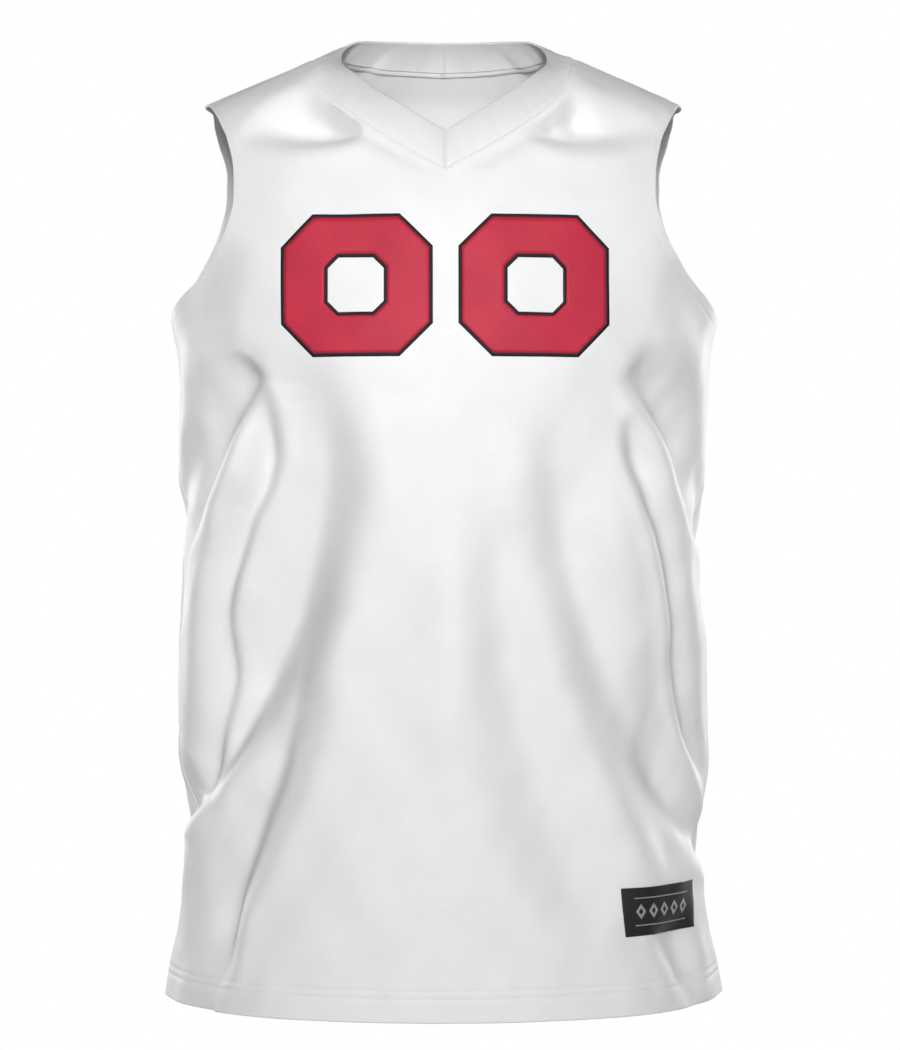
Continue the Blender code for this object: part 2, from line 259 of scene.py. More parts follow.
CREASES = (
    Crease("right armpit to waist", -0.3, marks=(
        (258, 360, 16, 0), (251, 375, 18, 10), (242, 396, 20, 17), (232, 418, 21, 20),
        (222, 442, 21, 20), (212, 466, 20, 17), (203, 492, 19, 14), (196, 518, 17, 12),
        (190, 542, 15, 9),
    ), laid=((-76, -440, 15, 6), (-86, -480, 13, 0))),
    Crease("right flank crease", -0.15, marks=(
        (258, 372, 9, 0), (261, 390, 10, 4), (263, 415, 11, 8), (263, 440, 11, 10), (259, 462, 11, 11),
        (253, 482, 11, 12), (242, 505, 11, 12), (232, 535, 11, 12), (223, 570, 11, 12),
        (216, 605, 11, 11), (213, 650, 11, 10), (204, 700, 10, 9), (196, 748, 9, 7), (188, 795, 8, 0),
    )),
    Crease("right flank ridge", 0, marks=(
        (243, 440, 12, 0), (228, 470, 15, -5), (214, 505, 16, -6), (203, 550, 16, -5),
        (197, 600, 15, -5), (193, 655, 13, -4), (189, 710, 11, -3), (184, 770, 10, 0),
    )),
    Crease("right breast to hip", -0.3, marks=(
        (334, 345, 30, 0), (330, 395, 36, 9), (333, 450, 40, 18), (331, 500, 42, 24), (319, 550, 42, 28),
        (303, 598, 40, 29), (279, 640, 37, 28), (258, 676, 33, 27), (240, 706, 29, 24),
        (221, 742, 25, 20), (205, 774, 21, 16), (188, 806, 17, 12),
    ), laid=((-82, -655, 15, 7), (-94, -692, 13, 0))),
    Crease("right breast to hem", -0.35, marks=(
        (326, 540, 24, 0), (320, 590, 30, 6), (310, 640, 36, 15), (300, 690, 38, 22), (285, 745, 36, 24),
        (265, 800, 32, 22), (248, 848, 27, 20), (237, 885, 22, 19), (230, 915, 20, 16),
        (222, 942, 21, 11), (208, 978, 22, 4),
    )),
    Crease("right hip pocket", 0, marks=(
        (240, 772, 11, 0), (220, 780, 13, 2), (204, 792, 13, 3), (190, 808, 10, 0),
    )),
    Crease("left armpit to waist", 0.3, marks=(
        (604, 362, 16, 0), (615, 377, 18, 10), (628, 396, 20, 17), (639, 416, 21, 20),
        (648, 438, 21, 20), (656, 461, 20, 17), (663, 487, 18, 14), (669, 514, 16, 12),
        (677, 542, 15, 8),
    ), laid=((78, -440, 15, 6), (88, -480, 13, 0))),
    Crease("left flank crease", 0.15, marks=(
        (606, 398, 9, 0), (607, 420, 10, 5), (611, 445, 11, 9), (618, 470, 11, 11), (626, 498, 11, 12),
        (634, 525, 11, 12), (641, 555, 11, 12), (649, 600, 11, 12), (657, 650, 11, 11),
        (667, 695, 10, 9), (677, 745, 9, 7), (684, 800, 8, 0),
    )),
    Crease("left flank ridge", 0, marks=(
        (626, 450, 12, 0), (640, 480, 14, -5), (650, 520, 15, -6), (659, 565, 15, -5),
        (667, 620, 14, -5), (675, 675, 12, -4), (683, 730, 10, 0),
    )),
    Crease("left breast to hip", 0.15, marks=(
        (522, 370, 24, 0), (525, 430, 25, 6), (531, 490, 26, 13), (540, 550, 28, 19), (555, 600, 31, 22),
        (571, 650, 35, 24), (592, 700, 39, 26), (612, 750, 38, 26), (630, 795, 31, 20),
        (645, 835, 24, 12), (658, 865, 18, 0),
    )),
    Crease("left waist ridge", 0, marks=(
        (584, 470, 20, 0), (598, 530, 24, -4), (612, 590, 24, -6), (624, 650, 22, -6),
        (638, 710, 18, -4), (650, 760, 14, 0),
    )),
    Crease("left hip crease", 0.2, marks=(
        (640, 745, 14, 0), (657, 785, 18, 7), (671, 820, 18, 9), (682, 850, 15, 6), (688, 880, 12, 0),
    )),
    Crease("belly trough", 0.2, marks=(
        (466, 480, 26, 0), (470, 540, 28, 7), (474, 600, 30, 9), (479, 660, 34, 12), (487, 720, 38, 15),
        (500, 780, 42, 16), (524, 840, 40, 15), (552, 890, 34, 9), (585, 930, 28, 0),
    )),
    Crease("belly ridge", 0, marks=(
        (430, 420, 24, 0), (432, 520, 28, -2), (436, 600, 28, -3), (438, 700, 28, -3), (434, 780, 28, 0),
    )),
    Crease("left hem trough", 0.3, marks=(
        (632, 905, 15, 0), (645, 928, 20, 9), (658, 952, 22, 9), (672, 982, 25, 4),
    )),
    Crease("left hem bulge", 0, marks=((684, 895, 12, 0), (687, 930, 14, -4), (692, 965, 14, -3))),
    Crease("right collar trough", 0.15, marks=(
        (230, 131, 13, 0), (254, 134, 16, 9), (284, 138, 19, 18), (310, 139, 18, 20), (333, 138, 14, 15),
        (350, 132, 10, 6), (360, 122, 8, 0),
    )),
    Crease("right collar pinch", 0, Profile.SHARP, marks=(
        (327, 90, 5, 0), (321, 98, 5, 2.5), (316, 107, 5, 0),
    )),
    Crease("right collar shade", 0, marks=(
        (352, 118, 9, 0), (366, 128, 10, 5), (386, 139, 10, 7), (408, 151, 10, 5), (424, 160, 8, 0),
    )),
    Crease("left collar trough", -0.15, marks=(
        (650, 128, 13, 0), (622, 133, 16, 7), (592, 138, 17, 12), (562, 140, 17, 15), (538, 137, 14, 12),
        (520, 129, 10, 5), (508, 119, 8, 0),
    )),
    Crease("left collar shade", 0, marks=(
        (530, 112, 8, 0), (514, 125, 9, 4), (492, 138, 9, 5), (470, 151, 9, 4), (454, 160, 8, 0),
    )),
    Crease("right armpit shade", 0, marks=(
        (226, 240, 18, 0), (206, 274, 22, 6), (196, 308, 22, 7), (194, 344, 18, 0),
    )),
    Crease("left armpit shade", 0, marks=(
        (650, 250, 18, 0), (666, 280, 20, 5), (676, 312, 20, 6), (678, 344, 16, 0),
    )),
    Crease("right breast dimple", 0, marks=((222, 338, 20, 0), (240, 362, 22, 3), (256, 385, 20, 0))),
    Crease("left breast dimple", 0, marks=((606, 350, 20, 0), (594, 380, 22, 2), (590, 410, 20, 0))),
    Crease("left collar fold", 0, marks=(
        (546, 88, 8, 0), (555, 102, 9, 6), (562, 114, 10, 7), (570, 126, 9, 0),
    )),
    Crease("back right blade to hem", 0.25, laid=(
        (203, -235, 22, 0), (202, -320, 28, 10), (205, -410, 32, 18), (210, -500, 33, 22),
        (217, -580, 31, 22), (225, -660, 27, 19), (231, -758, 22, 15),
    )),
    Crease("back left blade to hem", -0.25, laid=(
        (159, -270, 22, 0), (157, -350, 28, 9), (153, -440, 32, 17), (147, -530, 32, 21),
        (139, -620, 29, 20), (130, -700, 24, 15), (125, -758, 20, 12),
    )),
    Crease("back right armpit to waist", -0.3, laid=(
        (222, -225, 16, 0), (228, -270, 19, 11), (236, -325, 20, 16), (243, -385, 18, 12),
        (250, -450, 14, 0),
    )),
    Crease("back left armpit to waist", 0.3, laid=(
        (137, -230, 16, 0), (131, -280, 19, 10), (123, -340, 20, 15), (115, -400, 18, 11),
        (108, -465, 14, 0),
    )),
    Crease("back right flank crease", 0.2, laid=(
        (221, -320, 9, 0), (224, -390, 11, 8), (231, -460, 11, 10), (239, -530, 11, 10),
        (247, -600, 10, 7), (255, -660, 9, 0),
    )),
    Crease("back left flank crease", -0.2, laid=(
        (140, -290, 9, 0), (136, -360, 11, 7), (129, -440, 11, 9), (121, -520, 11, 9),
        (113, -590, 10, 6), (106, -640, 9, 0),
    )),
    Crease("back middle trough", 0.1, laid=(
        (183, -340, 28, 0), (184, -430, 32, 7), (181, -520, 36, 11), (176, -610, 38, 12),
        (170, -700, 34, 8), (166, -750, 28, 0),
    )),
    Crease("back right strap to blade", 0.2, laid=(
        (238, -52, 13, 0), (226, -72, 17, 9), (214, -100, 19, 11), (205, -140, 17, 0),
    )),
    Crease("back left strap to blade", -0.2, laid=(
        (124, -55, 13, 0), (135, -76, 17, 8), (146, -104, 19, 10), (153, -142, 17, 0),
    )),
    Crease("back neck dip", 0, laid=(
        (200, -28, 12, 0), (190, -40, 14, 5), (178, -44, 14, 6), (167, -39, 14, 5), (158, -27, 12, 0),
    )),
    Crease("right side pull", 0.2, laid=(
        (-70, -290, 12, 0), (-81, -330, 14, 7), (-93, -365, 14, 8), (-107, -405, 12, 0),
    )),
    Crease("left side pull", -0.2, laid=(
        (74, -305, 12, 0), (86, -350, 14, 7), (97, -388, 14, 7), (109, -430, 12, 0),
    )),
    Crease("right side hip trough", 0, laid=(
        (-84, -580, 14, 0), (-88, -650, 17, 7), (-96, -705, 18, 9), (-100, -758, 18, 9),
    )),
    Crease("left side hip trough", 0, laid=(
        (88, -570, 14, 0), (92, -645, 17, 6), (98, -700, 18, 8), (104, -758, 18, 8),
    )),
)


class Swell(NamedTuple):
    """One slow wave of the cloth's unevenness, in waves a turn and waves a metre."""

    depth: float
    round_the_body: float
    up_the_body: float
    phase: float


# How far a leaning crease's bottom lies from its line, in spreads of the steep flank
FLANK = 0.7

# Rows of stitches: heights above the hem, and insets from the armhole and the neck seam
HEM_ROWS = (18.0, 24.0)
ARMHOLE_ROW = 8.0
NECK_ROW = 2.6
ROW_POINTS = 121
NECK_POINTS = 161

# How a line is inset: the rounds it takes, a place well down the panel's own cloth, and
# how far below its tip the shoulder seam still cuts the line off
INSET_ROUNDS = 4
WELL_BELOW = 120.0
SHOULDER_REACH = 60.0

SWELLS = (
    Swell(0.50, 9.0, 3.1, 0.4),
    Swell(0.38, -14.0, 5.3, 2.1),
    Swell(0.26, 23.0, 8.7, 4.0),
    Swell(0.16, -37.0, 14.0, 1.2),
)


def smooth_curve(keys: Sequence[float], values: Sequence[float], level: bool = False) -> Curve:
    """Draw a curve smoothly through values at rising keys, without overshoot.

    Args:
        keys: The rising places of the values.
        values: What the curve runs through.
        level: Whether it starts and ends level.

    Returns:
        The curve, which keeps its end values beyond its ends.
    """
    keys = np.asarray(keys, float)
    values = np.asarray(values, float)
    steps = np.diff(keys)
    slopes = np.diff(values) / steps
    products = slopes[:-1] * slopes[1:]
    sums = np.where(products > 0.0, slopes[:-1] + slopes[1:], 1.0)
    inner = np.where(products > 0.0, 2.0 * products / sums, 0.0)
    ends = np.zeros(2) if level else slopes[[0, -1]]
    tangents = np.concatenate([ends[:1], inner, ends[1:]])

    def at(x: Array) -> Array:
        """Read the curve.

        Args:
            x: The places.

        Returns:
            Its values there.
        """
        x = np.clip(x, keys[0], keys[-1])
        i = np.clip(np.searchsorted(keys, x, side="right") - 1, 0, len(steps) - 1)
        t = (x - keys[i]) / steps[i]
        return (
            (1.0 + 2.0 * t) * (1.0 - t) ** 2 * values[i]
            + t * (1.0 - t) ** 2 * steps[i] * tangents[i]
            + t * t * (3.0 - 2.0 * t) * values[i + 1]
            + t * t * (t - 1.0) * steps[i] * tangents[i + 1]
        )

    return at


def station_curves(rows: Sequence[tuple]) -> list[Curve]:
    """Draw a curve through each column of a table, against the row's number.

    Args:
        rows: The table.

    Returns:
        One curve for each column.
    """
    return [smooth_curve(range(len(rows)), column) for column in zip(*rows)]


def unit(vectors: Array) -> Array:
    """The same vectors at a length of one."""
    return vectors / np.maximum(np.linalg.norm(vectors, axis=-1, keepdims=True), TINY)


def near(distance: Array, width: float) -> Array:
    """A mask that falls smoothly from 1 at no distance to 0 at the width."""
    share = np.clip(1.0 - distance / width, 0.0, 1.0)
    return share * share * (3.0 - 2.0 * share)


def from_middle(turn: Array, middle: float) -> Array:
    """How far each turn lies from a middle one, the shorter way round."""
    return np.mod(turn - middle + HALF_TURN, 2.0 * HALF_TURN) - HALF_TURN


def evenly(points: Array, shares: Array) -> Array:
    """Sample a line by shares of its length.

    Args:
        points: The line's points in space, a row each.
        shares: Shares of the length, from 0 to 1.

    Returns:
        The fractional row of the line at each share.
    """
    steps = np.linalg.norm(np.diff(points, axis=0), axis=-1)
    length = np.concatenate([[0.0], np.cumsum(steps)])
    return np.interp(shares * length[-1], length, np.arange(len(length)))


def picked(values: Array, rows: Array) -> Array:
    """Values of a table's columns at fractional rows."""
    numbers = np.arange(len(values))
    return np.stack([np.interp(rows, numbers, column) for column in values.T], axis=-1)


@dataclass
class WornForm:
    """The smooth form of the jersey on its wearer, before any crease."""

    sections: Sequence[Section] = SECTIONS
    ring_steps: int = 20  # steps in which a length round a ring is measured
    rolling_steps: int = 5  # rounds in which a length is brought back to a turn
    length_a_degree: float = 3.3  # rough length round a ring, the first guess for rolling

    def __post_init__(self) -> None:
        """Draw a curve through each column of the sections."""
        heights = [section.height for section in self.sections]
        columns = list(zip(*self.sections))[1:]
        curves = [smooth_curve(heights, column) for column in columns]
        self.half_width, self.front, self.back, self.side_line, self.fullness = curves

    def point(self, turn: Array, height: Array) -> Array:
        """Find places of the form in space.

        Args:
            turn: The places' turns.
            height: The places' heights.

        Returns:
            The points, with a last axis of x, y and z.
        """
        angle = np.radians(turn)
        side, ahead = np.sin(angle), np.cos(angle)
        fuller = 1.0 + self.fullness(height) * np.sin(2.0 * angle) ** 2
        line = self.side_line(height)
        depth = np.where(ahead > 0.0, self.front(height) + line, self.back(height) - line)
        x = self.half_width(height) * side * fuller
        return np.stack([x, line - depth * ahead * fuller, height + 0.0 * x], axis=-1)

    def rate(self, turn: Array, height: Array) -> Array:
        """The length round a ring that one degree takes at each place."""
        return np.linalg.norm(self.point(turn + 0.5, height) - self.point(turn - 0.5, height), axis=-1)

    def unrolled(self, turn: Array, height: Array, middle: float) -> Array:
        """Measure round the level rings.

        Args:
            turn: The places' turns.
            height: The places' heights.
            middle: The turn to measure from.

        Returns:
            The lengths, all above nought.
        """
        share = np.linspace(0.0, 1.0, self.ring_steps + 1).reshape((-1,) + (1,) * np.ndim(turn))
        points = self.point(middle + (turn - middle) * share, height + 0.0 * share)
        return np.linalg.norm(np.diff(points, axis=0), axis=-1).sum(axis=0)

    def rolled(self, length: Array, height: Array, side: Side) -> Array:
        """Find the turns that lie given lengths round the rings.

        Args:
            length: Lengths toward the wearer's left side; below nought to the right.
            height: The places' heights.
            side: The panel whose middle the lengths start from.

        Returns:
            The places' turns.
        """
        left, reach = np.where(length < 0.0, -1.0, 1.0), np.abs(length)
        turn = side.middle + side.way * reach / self.length_a_degree
        for _ in range(self.rolling_steps):
            error = reach - self.unrolled(turn, height, side.middle)
            turn = turn + side.way * error / self.rate(turn, height)
        return side.middle + left * (turn - side.middle)


def reach_of(
    form: WornForm, turn: Array, height: Array, line_turn: Array, line_height: Array
) -> Line:
    """Find how far places lie from a line on the cloth.

    Args:
        form: The form that both lie on.
        turn: The places' turns.
        height: The places' heights.
        line_turn: The turns of the line's points.
        line_height: The heights of the line's points.

    Returns:
        The distances, above nought on the left of the line, and the line's station
        that is nearest to each place.
    """
    rate = form.rate(turn, height)
    nearest = np.full(turn.shape, np.inf)
    signed = np.full(turn.shape, np.inf)
    station = np.zeros(turn.shape)
    middle = 0.5 * (line_turn.min() + line_turn.max())
    place = middle + from_middle(turn, middle)
    away = (line_turn[0] - place) * rate
    for i in range(len(line_turn) - 1):
        onward = away + (line_turn[i + 1] - line_turn[i]) * rate
        low, high = line_height[i] - height, line_height[i + 1] - height
        along, rise = onward - away, high - low
        share = -(away * along + low * rise) / (along**2 + rise**2 + TINY)
        share = np.clip(share, 0.0, 1.0)
        aside, up = away + share * along, low + share * rise
        distance = np.hypot(aside, up)
        closer = distance < nearest
        left = np.where(along * up - rise * aside < 0.0, 1.0, -1.0)
        nearest = np.where(closer, distance, nearest)
        signed = np.where(closer, distance * left, signed)
        station = np.where(closer, i + share, station)
        away = onward
    return signed, station


@dataclass
class FrontView:
    """The front as an eye before it sees it, and a print of that for marking creases."""

    form: WornForm
    eye_distance: float = 2000.0
    eye_height: float = -380.0
    eye_aside: float = 4.9
    middle: Pair = (450.0, 525.0)
    reach: float = 2439.0  # how far across the view one of width lies at a distance of one
    # The print's share of the view's size, across and down
    print_scale: Pair = (0.97556, 0.97524)
    turns: tuple[float, float, float] = (-89.0, 89.01, 0.5)  # the net's first and last turn and its step
    # The net's lowest and highest height and its step
    heights: tuple[float, float, float] = (-765.0, 5.0, 1.0)
    leaning_share: float = 0.6  # the share of its depth at which a leaning crease's line is seen
    upright_share: float = 0.8  # the same for a crease that doesn't lean

    def __post_init__(self) -> None:
        """Lay a fine net over the front of the form."""
        self.turn, self.height = np.meshgrid(np.arange(*self.turns), np.arange(*self.heights))
        self.face = self.form.point(self.turn, self.height)
        self.normal = normals_of(self.form.point, self.turn, self.height)
        self.views: dict[int, Array] = {}

    def view(self, depth: int) -> Array:
        """Find where the net is seen once it is sunk.

        Args:
            depth: How deep it is sunk.

        Returns:
            How far across and down each place is seen.
        """
        if depth not in self.views:
            points = self.face - self.normal * depth
            slope = self.reach / (self.eye_distance + points[..., 1])
            across = self.middle[0] + slope * (points[..., 0] - self.eye_aside)
            down = self.middle[1] - slope * (points[..., 2] - self.eye_height)
            self.views[depth] = np.stack([across, down], axis=-1)
        return self.views[depth]

    def places(self, crease: Crease) -> list[Laid]:
        """Lay out the places of a crease, with its marks found on the form.

        Args:
            crease: The crease.

        Returns:
            Its places in order.
        """
        share = self.leaning_share if crease.lean else self.upright_share
        found = []
        for across, down, spread, depth in crease.marks:
            mark = np.array([across, down]) / self.print_scale
            missed = np.linalg.norm(self.view(round(depth * share)) - mark, axis=-1)
            nearest = np.unravel_index(missed.argmin(), missed.shape)
            found.append(Laid(self.turn[nearest], self.height[nearest], spread, depth))
        return found + [Laid(*row) for row in crease.laid]


class SunkLine(NamedTuple):
    """A crease or a seam, ready to be measured against: its line and its widths."""

    profile: Profile
    lean: float
    turn: Array
    height: Array
    spread: Array
    depth: Array


@dataclass
class Cloth:
    """The creased cloth of both panels, one surface round the whole body."""

    form: WornForm
    seams: dict[str, Lines]
    creases: Sequence[Crease] = CREASES
    swells: Sequence[Swell] = SWELLS
    fineness: int = 4  # line points between two crease points
    stitch_spread: float = 1.1  # how far a line of stitches draws the cloth in to each side
    stitch_depth: float = 0.4
    seam_spread: float = 1.6  # the same for a seam between two pieces
    seam_depth: float = 0.7
    neck_hold: float = 15.0  # how far the neck seam holds the creases back to each side
    neck_grip: float = 0.9  # the share of their depth that it takes away
    neck_stride: int = 8  # how many of the seam's points are passed over to measure from it
    long_line: int = 60  # points past which a sewn line is thinned
    sewn_stride: int = 3  # how many of its points are then passed over
    felt_spreads: float = 4.0  # how far a line is felt, in spreads
    least_rate: float = 2.0  # the least length round a ring that one degree takes
    swell_fade: float = 1.0e4  # how far below the shoulders the swells would fade away

    def __post_init__(self) -> None:
        """Lay out the line of each crease, seam and row of stitches once."""
        self.lines = []
        view = FrontView(self.form)
        for crease in self.creases:
            points = view.places(crease)
            count = (len(points) - 1) * self.fineness + 1
            station = np.linspace(0.0, len(points) - 1.0, count)
            turn, height, spread, _ = (curve(station) for curve in station_curves(points))
            depths = [point.depth for point in points]
            depth = smooth_curve(range(len(depths)), depths, level=True)(station)
            self.lines.append(SunkLine(crease.profile, crease.lean, turn, height, spread, depth))
        for sewn in self.seams.values():
            for turn, height in sewn:
                self.lines.append(self.drawn_line(turn, height, self.stitch_spread, self.stitch_depth))
        for way in (1.0, -1.0):
            seams = [side_line(3, -5.0, -5.0)]
            seams += [neck_line(side) for side in Side]
            seams.append(shoulder_line(np.array([0.0, 1.0])))
            for turn, height in seams:
                self.lines.append(self.drawn_line(way * turn, height, self.seam_spread, self.seam_depth))

    def drawn_line(self, turn: Array, height: Array, spread: float, depth: float) -> SunkLine:
        """Make a line that draws the cloth in evenly along its length.

        Args:
            turn: The turns along it.
            height: The heights along it.
            spread: How far it draws the cloth in to each side.
            depth: How deep.

        Returns:
            The line, thinned if it is long.
        """
        stride = self.sewn_stride if len(turn) > self.long_line else 1
        turn, height = turn[::stride], height[::stride]
        spreads, depths = (np.full(len(turn), size) for size in (spread, depth))
        return SunkLine(Profile.SHARP, 0.0, turn, height, spreads, depths)

    def held(self, turn: Array, height: Array) -> Array:
        """How much of each crease is left near the neck seam, which holds the cloth.

        Args:
            turn: The places' turns.
            height: The places' heights.

        Returns:
            The shares, 1 away from the seam.
        """
        share = np.ones(turn.shape)
        high = height > min(station.seam_height for station in NECK) - self.neck_hold
        if high.any():
            folded = np.abs(from_middle(turn[high], 0.0))
            for side in Side:
                seam_turn, seam_height = (part[::self.neck_stride] for part in neck_line(side))
                reach, _ = reach_of(self.form, folded, height[high], seam_turn, seam_height)
                share[high] *= 1.0 - self.neck_grip * near(np.abs(reach), self.neck_hold)
        return share

    def sunk(self, turn: Array, height: Array) -> Array:
        """Add up how deep the creases and the swells sink each place.

        Args:
            turn: The places' turns.
            height: The places' heights.

        Returns:
            The depths, below nought where the cloth stands proud.
        """
        flat_turn, flat_height = np.ravel(turn), np.ravel(height)
        total = np.zeros(flat_turn.shape)
        for swell in self.swells:
            wave = np.radians(flat_turn) * swell.round_the_body
            wave += flat_height * MM * 2.0 * pi * swell.up_the_body + swell.phase
            total += swell.depth * np.sin(wave) * near(-flat_height, self.swell_fade)
        held = self.held(flat_turn, flat_height)
        for number, line in enumerate(self.lines):
            margin = self.felt_spreads * line.spread.max()
            middle = 0.5 * (line.turn.min() + line.turn.max())
            half = 0.5 * (line.turn.max() - line.turn.min()) + margin / self.least_rate
            beside_line = np.abs(from_middle(flat_turn, middle)) < half
            within = (flat_height > line.height.min() - margin) & beside_line
            within &= flat_height < line.height.max() + margin
            if not within.any():
                continue
            signed, station = reach_of(
                self.form, flat_turn[within], flat_height[within], line.turn, line.height
            )
            numbers = np.arange(len(line.spread))
            spread = np.interp(station, numbers, line.spread)
            steep = spread * (1.0 - abs(line.lean))
            from_bottom = signed - np.sign(line.lean) * FLANK * steep
            width = spread * (1.0 + line.lean * np.sign(from_bottom))
            dip = line.profile.dip(from_bottom / width) * np.interp(station, numbers, line.depth)
            if number < len(self.creases):
                dip *= held[within]
            total[within] += dip
        return total.reshape(np.shape(turn))

    def point(self, turn: Array, height: Array) -> Array:
        """Points of the cloth's outer face, creases and all."""
        inward = normals_of(self.form.point, turn, height) * self.sunk(turn, height)[..., None]
        return self.form.point(turn, height) - inward


def normals_of(surface: Callable[[Array, Array], Array], turn: Array, height: Array) -> Array:
    """Find the outward unit normals of a surface.

    Args:
        surface: The surface, as points for turns and heights.
        turn: The places' turns.
        height: The places' heights.

    Returns:
        The normals.
    """
    around = surface(turn + TURN_NUDGE, height) - surface(turn - TURN_NUDGE, height)
    upward = surface(turn, height + HEIGHT_NUDGE) - surface(turn, height - HEIGHT_NUDGE)
    return unit(np.cross(around, upward))


def new_object(
    name: str, points: Array, faces: Sequence, finish: Material,
    flat: Array | None = None, wrong: Array | None = None,
) -> Piece:
    """Make a smooth-shaded mesh object at the origin.

    Args:
        name: The object's name.
        points: The mesh's points in millimetres.
        faces: The corner numbers of each face.
        finish: The material it wears.
        flat: Where each point lies in the flat cut, in millimetres, for the weave.
        wrong: How far each point is on the knit's wrong side, from 0 to 1, where the inside is painted
            darker as painted shade.

    Returns:
        The new object.
    """
    mesh = bpy.data.meshes.new(name)
    mesh.from_pydata((np.asarray(points).reshape(-1, 3) * MM).tolist(), [], faces)
    mesh.polygons.foreach_set("use_smooth", np.ones(len(mesh.polygons), bool))
    if flat is not None:
        corners = np.zeros(len(mesh.loops), int)
        mesh.loops.foreach_get("vertex_index", corners)
        layer = mesh.uv_layers.new(name="cut")
        layer.data.foreach_set("uv", (flat.reshape(-1, 2)[corners] * MM).ravel())
    if wrong is not None:
        mesh.attributes.new(WRONG_SIDE, "FLOAT", "POINT").data.foreach_set("value", wrong)
    mesh.materials.append(finish)
    mesh.update()
    thing = bpy.data.objects.new(name, mesh)
    bpy.context.scene.collection.objects.link(thing)
    return thing


def border_of(rows: int, columns: int) -> Array:
    """Walk round the border of a grid, the way its faces run.

    Args:
        rows: The grid's rows of points.
        columns: Its columns.

    Returns:
        The numbers of the points on the border.
    """
    last = rows * columns - 1
    bottom = np.arange(columns - 1)
    right = np.arange(columns - 1, last, columns)
    top = np.arange(last, last - columns + 1, -1)
    left = np.arange(last - columns + 1, 0, -columns)
    return np.concatenate([bottom, right, top, left])


def grid_faces(rows: int, columns: int) -> Array:
    """The four-sided faces of a grid of points, counted row by row."""
    corner = (np.arange(rows - 1)[:, None] * columns + np.arange(columns - 1)).ravel()
    return np.stack([corner, corner + 1, corner + columns + 1, corner + columns], axis=-1)


# How far a cloth's rounded edge stands out, in walls
RIM_BULGE = 0.3


def walled(
    name: str, outer: Array, normal: Array, wall: Array, flat: Array, finish: Material
) -> Piece:
    """Give a grid of cloth its wall, with a rounded edge all round.

    Args:
        name: The object's name.
        outer: The outer face's points, by rows.
        normal: Their outward normals.
        wall: The wall at each point.
        flat: Where each point lies in the flat cut.
        finish: The material it wears.

    Returns:
        The closed piece.
    """
    rows, columns = outer.shape[:2]
    count = rows * columns
    inner = outer - normal * wall[..., None]
    border = border_of(rows, columns)
    grid = outer.reshape(-1, 3)
    edge_row, edge_column = np.divmod(border, columns)
    inside_row = np.clip(edge_row, 1, rows - 2)
    inside_column = np.clip(edge_column, 1, columns - 2)
    outward = unit(grid[border] - outer[inside_row, inside_column])
    rim = (grid[border] + inner.reshape(-1, 3)[border]) / 2.0
    rim = rim + outward * RIM_BULGE * wall.reshape(-1)[border][:, None]
    faces = grid_faces(rows, columns)
    onward = np.roll(border, -1)
    middle = 2 * count + np.arange(len(border))
    middle_onward = np.roll(middle, -1)
    all_faces = np.concatenate([
        faces,
        faces[:, ::-1] + count,
        np.stack([onward, border, middle, middle_onward], axis=-1),
        np.stack([middle_onward, middle, border + count, onward + count], axis=-1),
    ])
    cut = flat.reshape(-1, 2)
    points = np.concatenate([grid, inner.reshape(-1, 3), rim])
    # The inner face takes the full painted shade of the inside, the rim half of it
    wrong = np.repeat([0.0, 1.0, 0.5], [count, count, len(border)])
    cut = np.concatenate([cut, cut, cut[border]])
    return new_object(name, points, all_faces.tolist(), finish, cut, wrong)


def tubed(
    name: str, loops: Sequence[Array], closed: bool, finish: Material, wrong: Array
) -> Piece:
    """Join closed cross-sections into tubes.

    Args:
        name: The object's name.
        loops: Tubes, each of sections by points by x, y and z.
        closed: Whether each tube runs round into its own start.
        finish: The material it wears.
        wrong: How far each corner of a section is on the knit's wrong side, where the inside is painted
            darker as painted shade.

    Returns:
        The piece with all the tubes.
    """
    points, faces, flat, start = [], [], [], 0
    for loop in loops:
        sections, corners = loop.shape[:2]
        last = sections if closed else sections - 1
        number = start + np.arange(sections * corners).reshape(sections, corners)
        for s in range(last):
            here, onward = number[s], number[(s + 1) % sections]
            faces += np.stack(
                [here, onward, np.roll(onward, -1), np.roll(here, -1)], axis=-1
            ).tolist()
        if not closed:
            faces += [number[0].tolist(), number[-1][::-1].tolist()]
        length = np.concatenate(
            [[0.0], np.cumsum(np.linalg.norm(np.diff(loop.mean(axis=1), axis=0), axis=-1))]
        )
        across = np.linalg.norm(loop - loop[:, :1], axis=-1)
        flat.append(np.stack([length[:, None] + 0.0 * across, across], axis=-1).reshape(-1, 2))
        points.append(loop.reshape(-1, 3))
        start += sections * corners
    placed = np.concatenate(points)
    sides = np.tile(wrong, len(placed) // len(wrong))
    return new_object(name, placed, faces, finish, np.concatenate(flat), sides)


def sharing(thing: Piece, slot: str, *nodes: str) -> Piece:
    """Tell the frame what a piece rides on and stands for.

    Args:
        thing: The piece.
        slot: The record's material slot; not used.
        nodes: The plain nodes that it replaces.

    Returns:
        The piece.
    """
    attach(thing, BODY)
    if nodes:
        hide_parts(*nodes)
    LOG.info("%s: %d faces", thing.name, len(thing.data.polygons))
    return thing


class Socket(NamedTuple):
    """One named input or output of a shared node group."""

    name: str
    kind: str


def node_group(name: str, inputs: Sequence[Socket], outputs: Sequence[Socket]) -> NodeTree:
    """Start a shared node group with named sockets.

    Args:
        name: The group's name.
        inputs: What it takes in.
        outputs: What it puts out.

    Returns:
        The group, with only its input and output nodes.
    """
    group = bpy.data.node_groups.new(name, "ShaderNodeTree")
    for sockets, way in ((inputs, "INPUT"), (outputs, "OUTPUT")):
        for socket in sockets:
            group.interface.new_socket(socket.name, in_out=way, socket_type=socket.kind)
    group.nodes.new("NodeGroupInput")
    group.nodes.new("NodeGroupOutput")
    return group


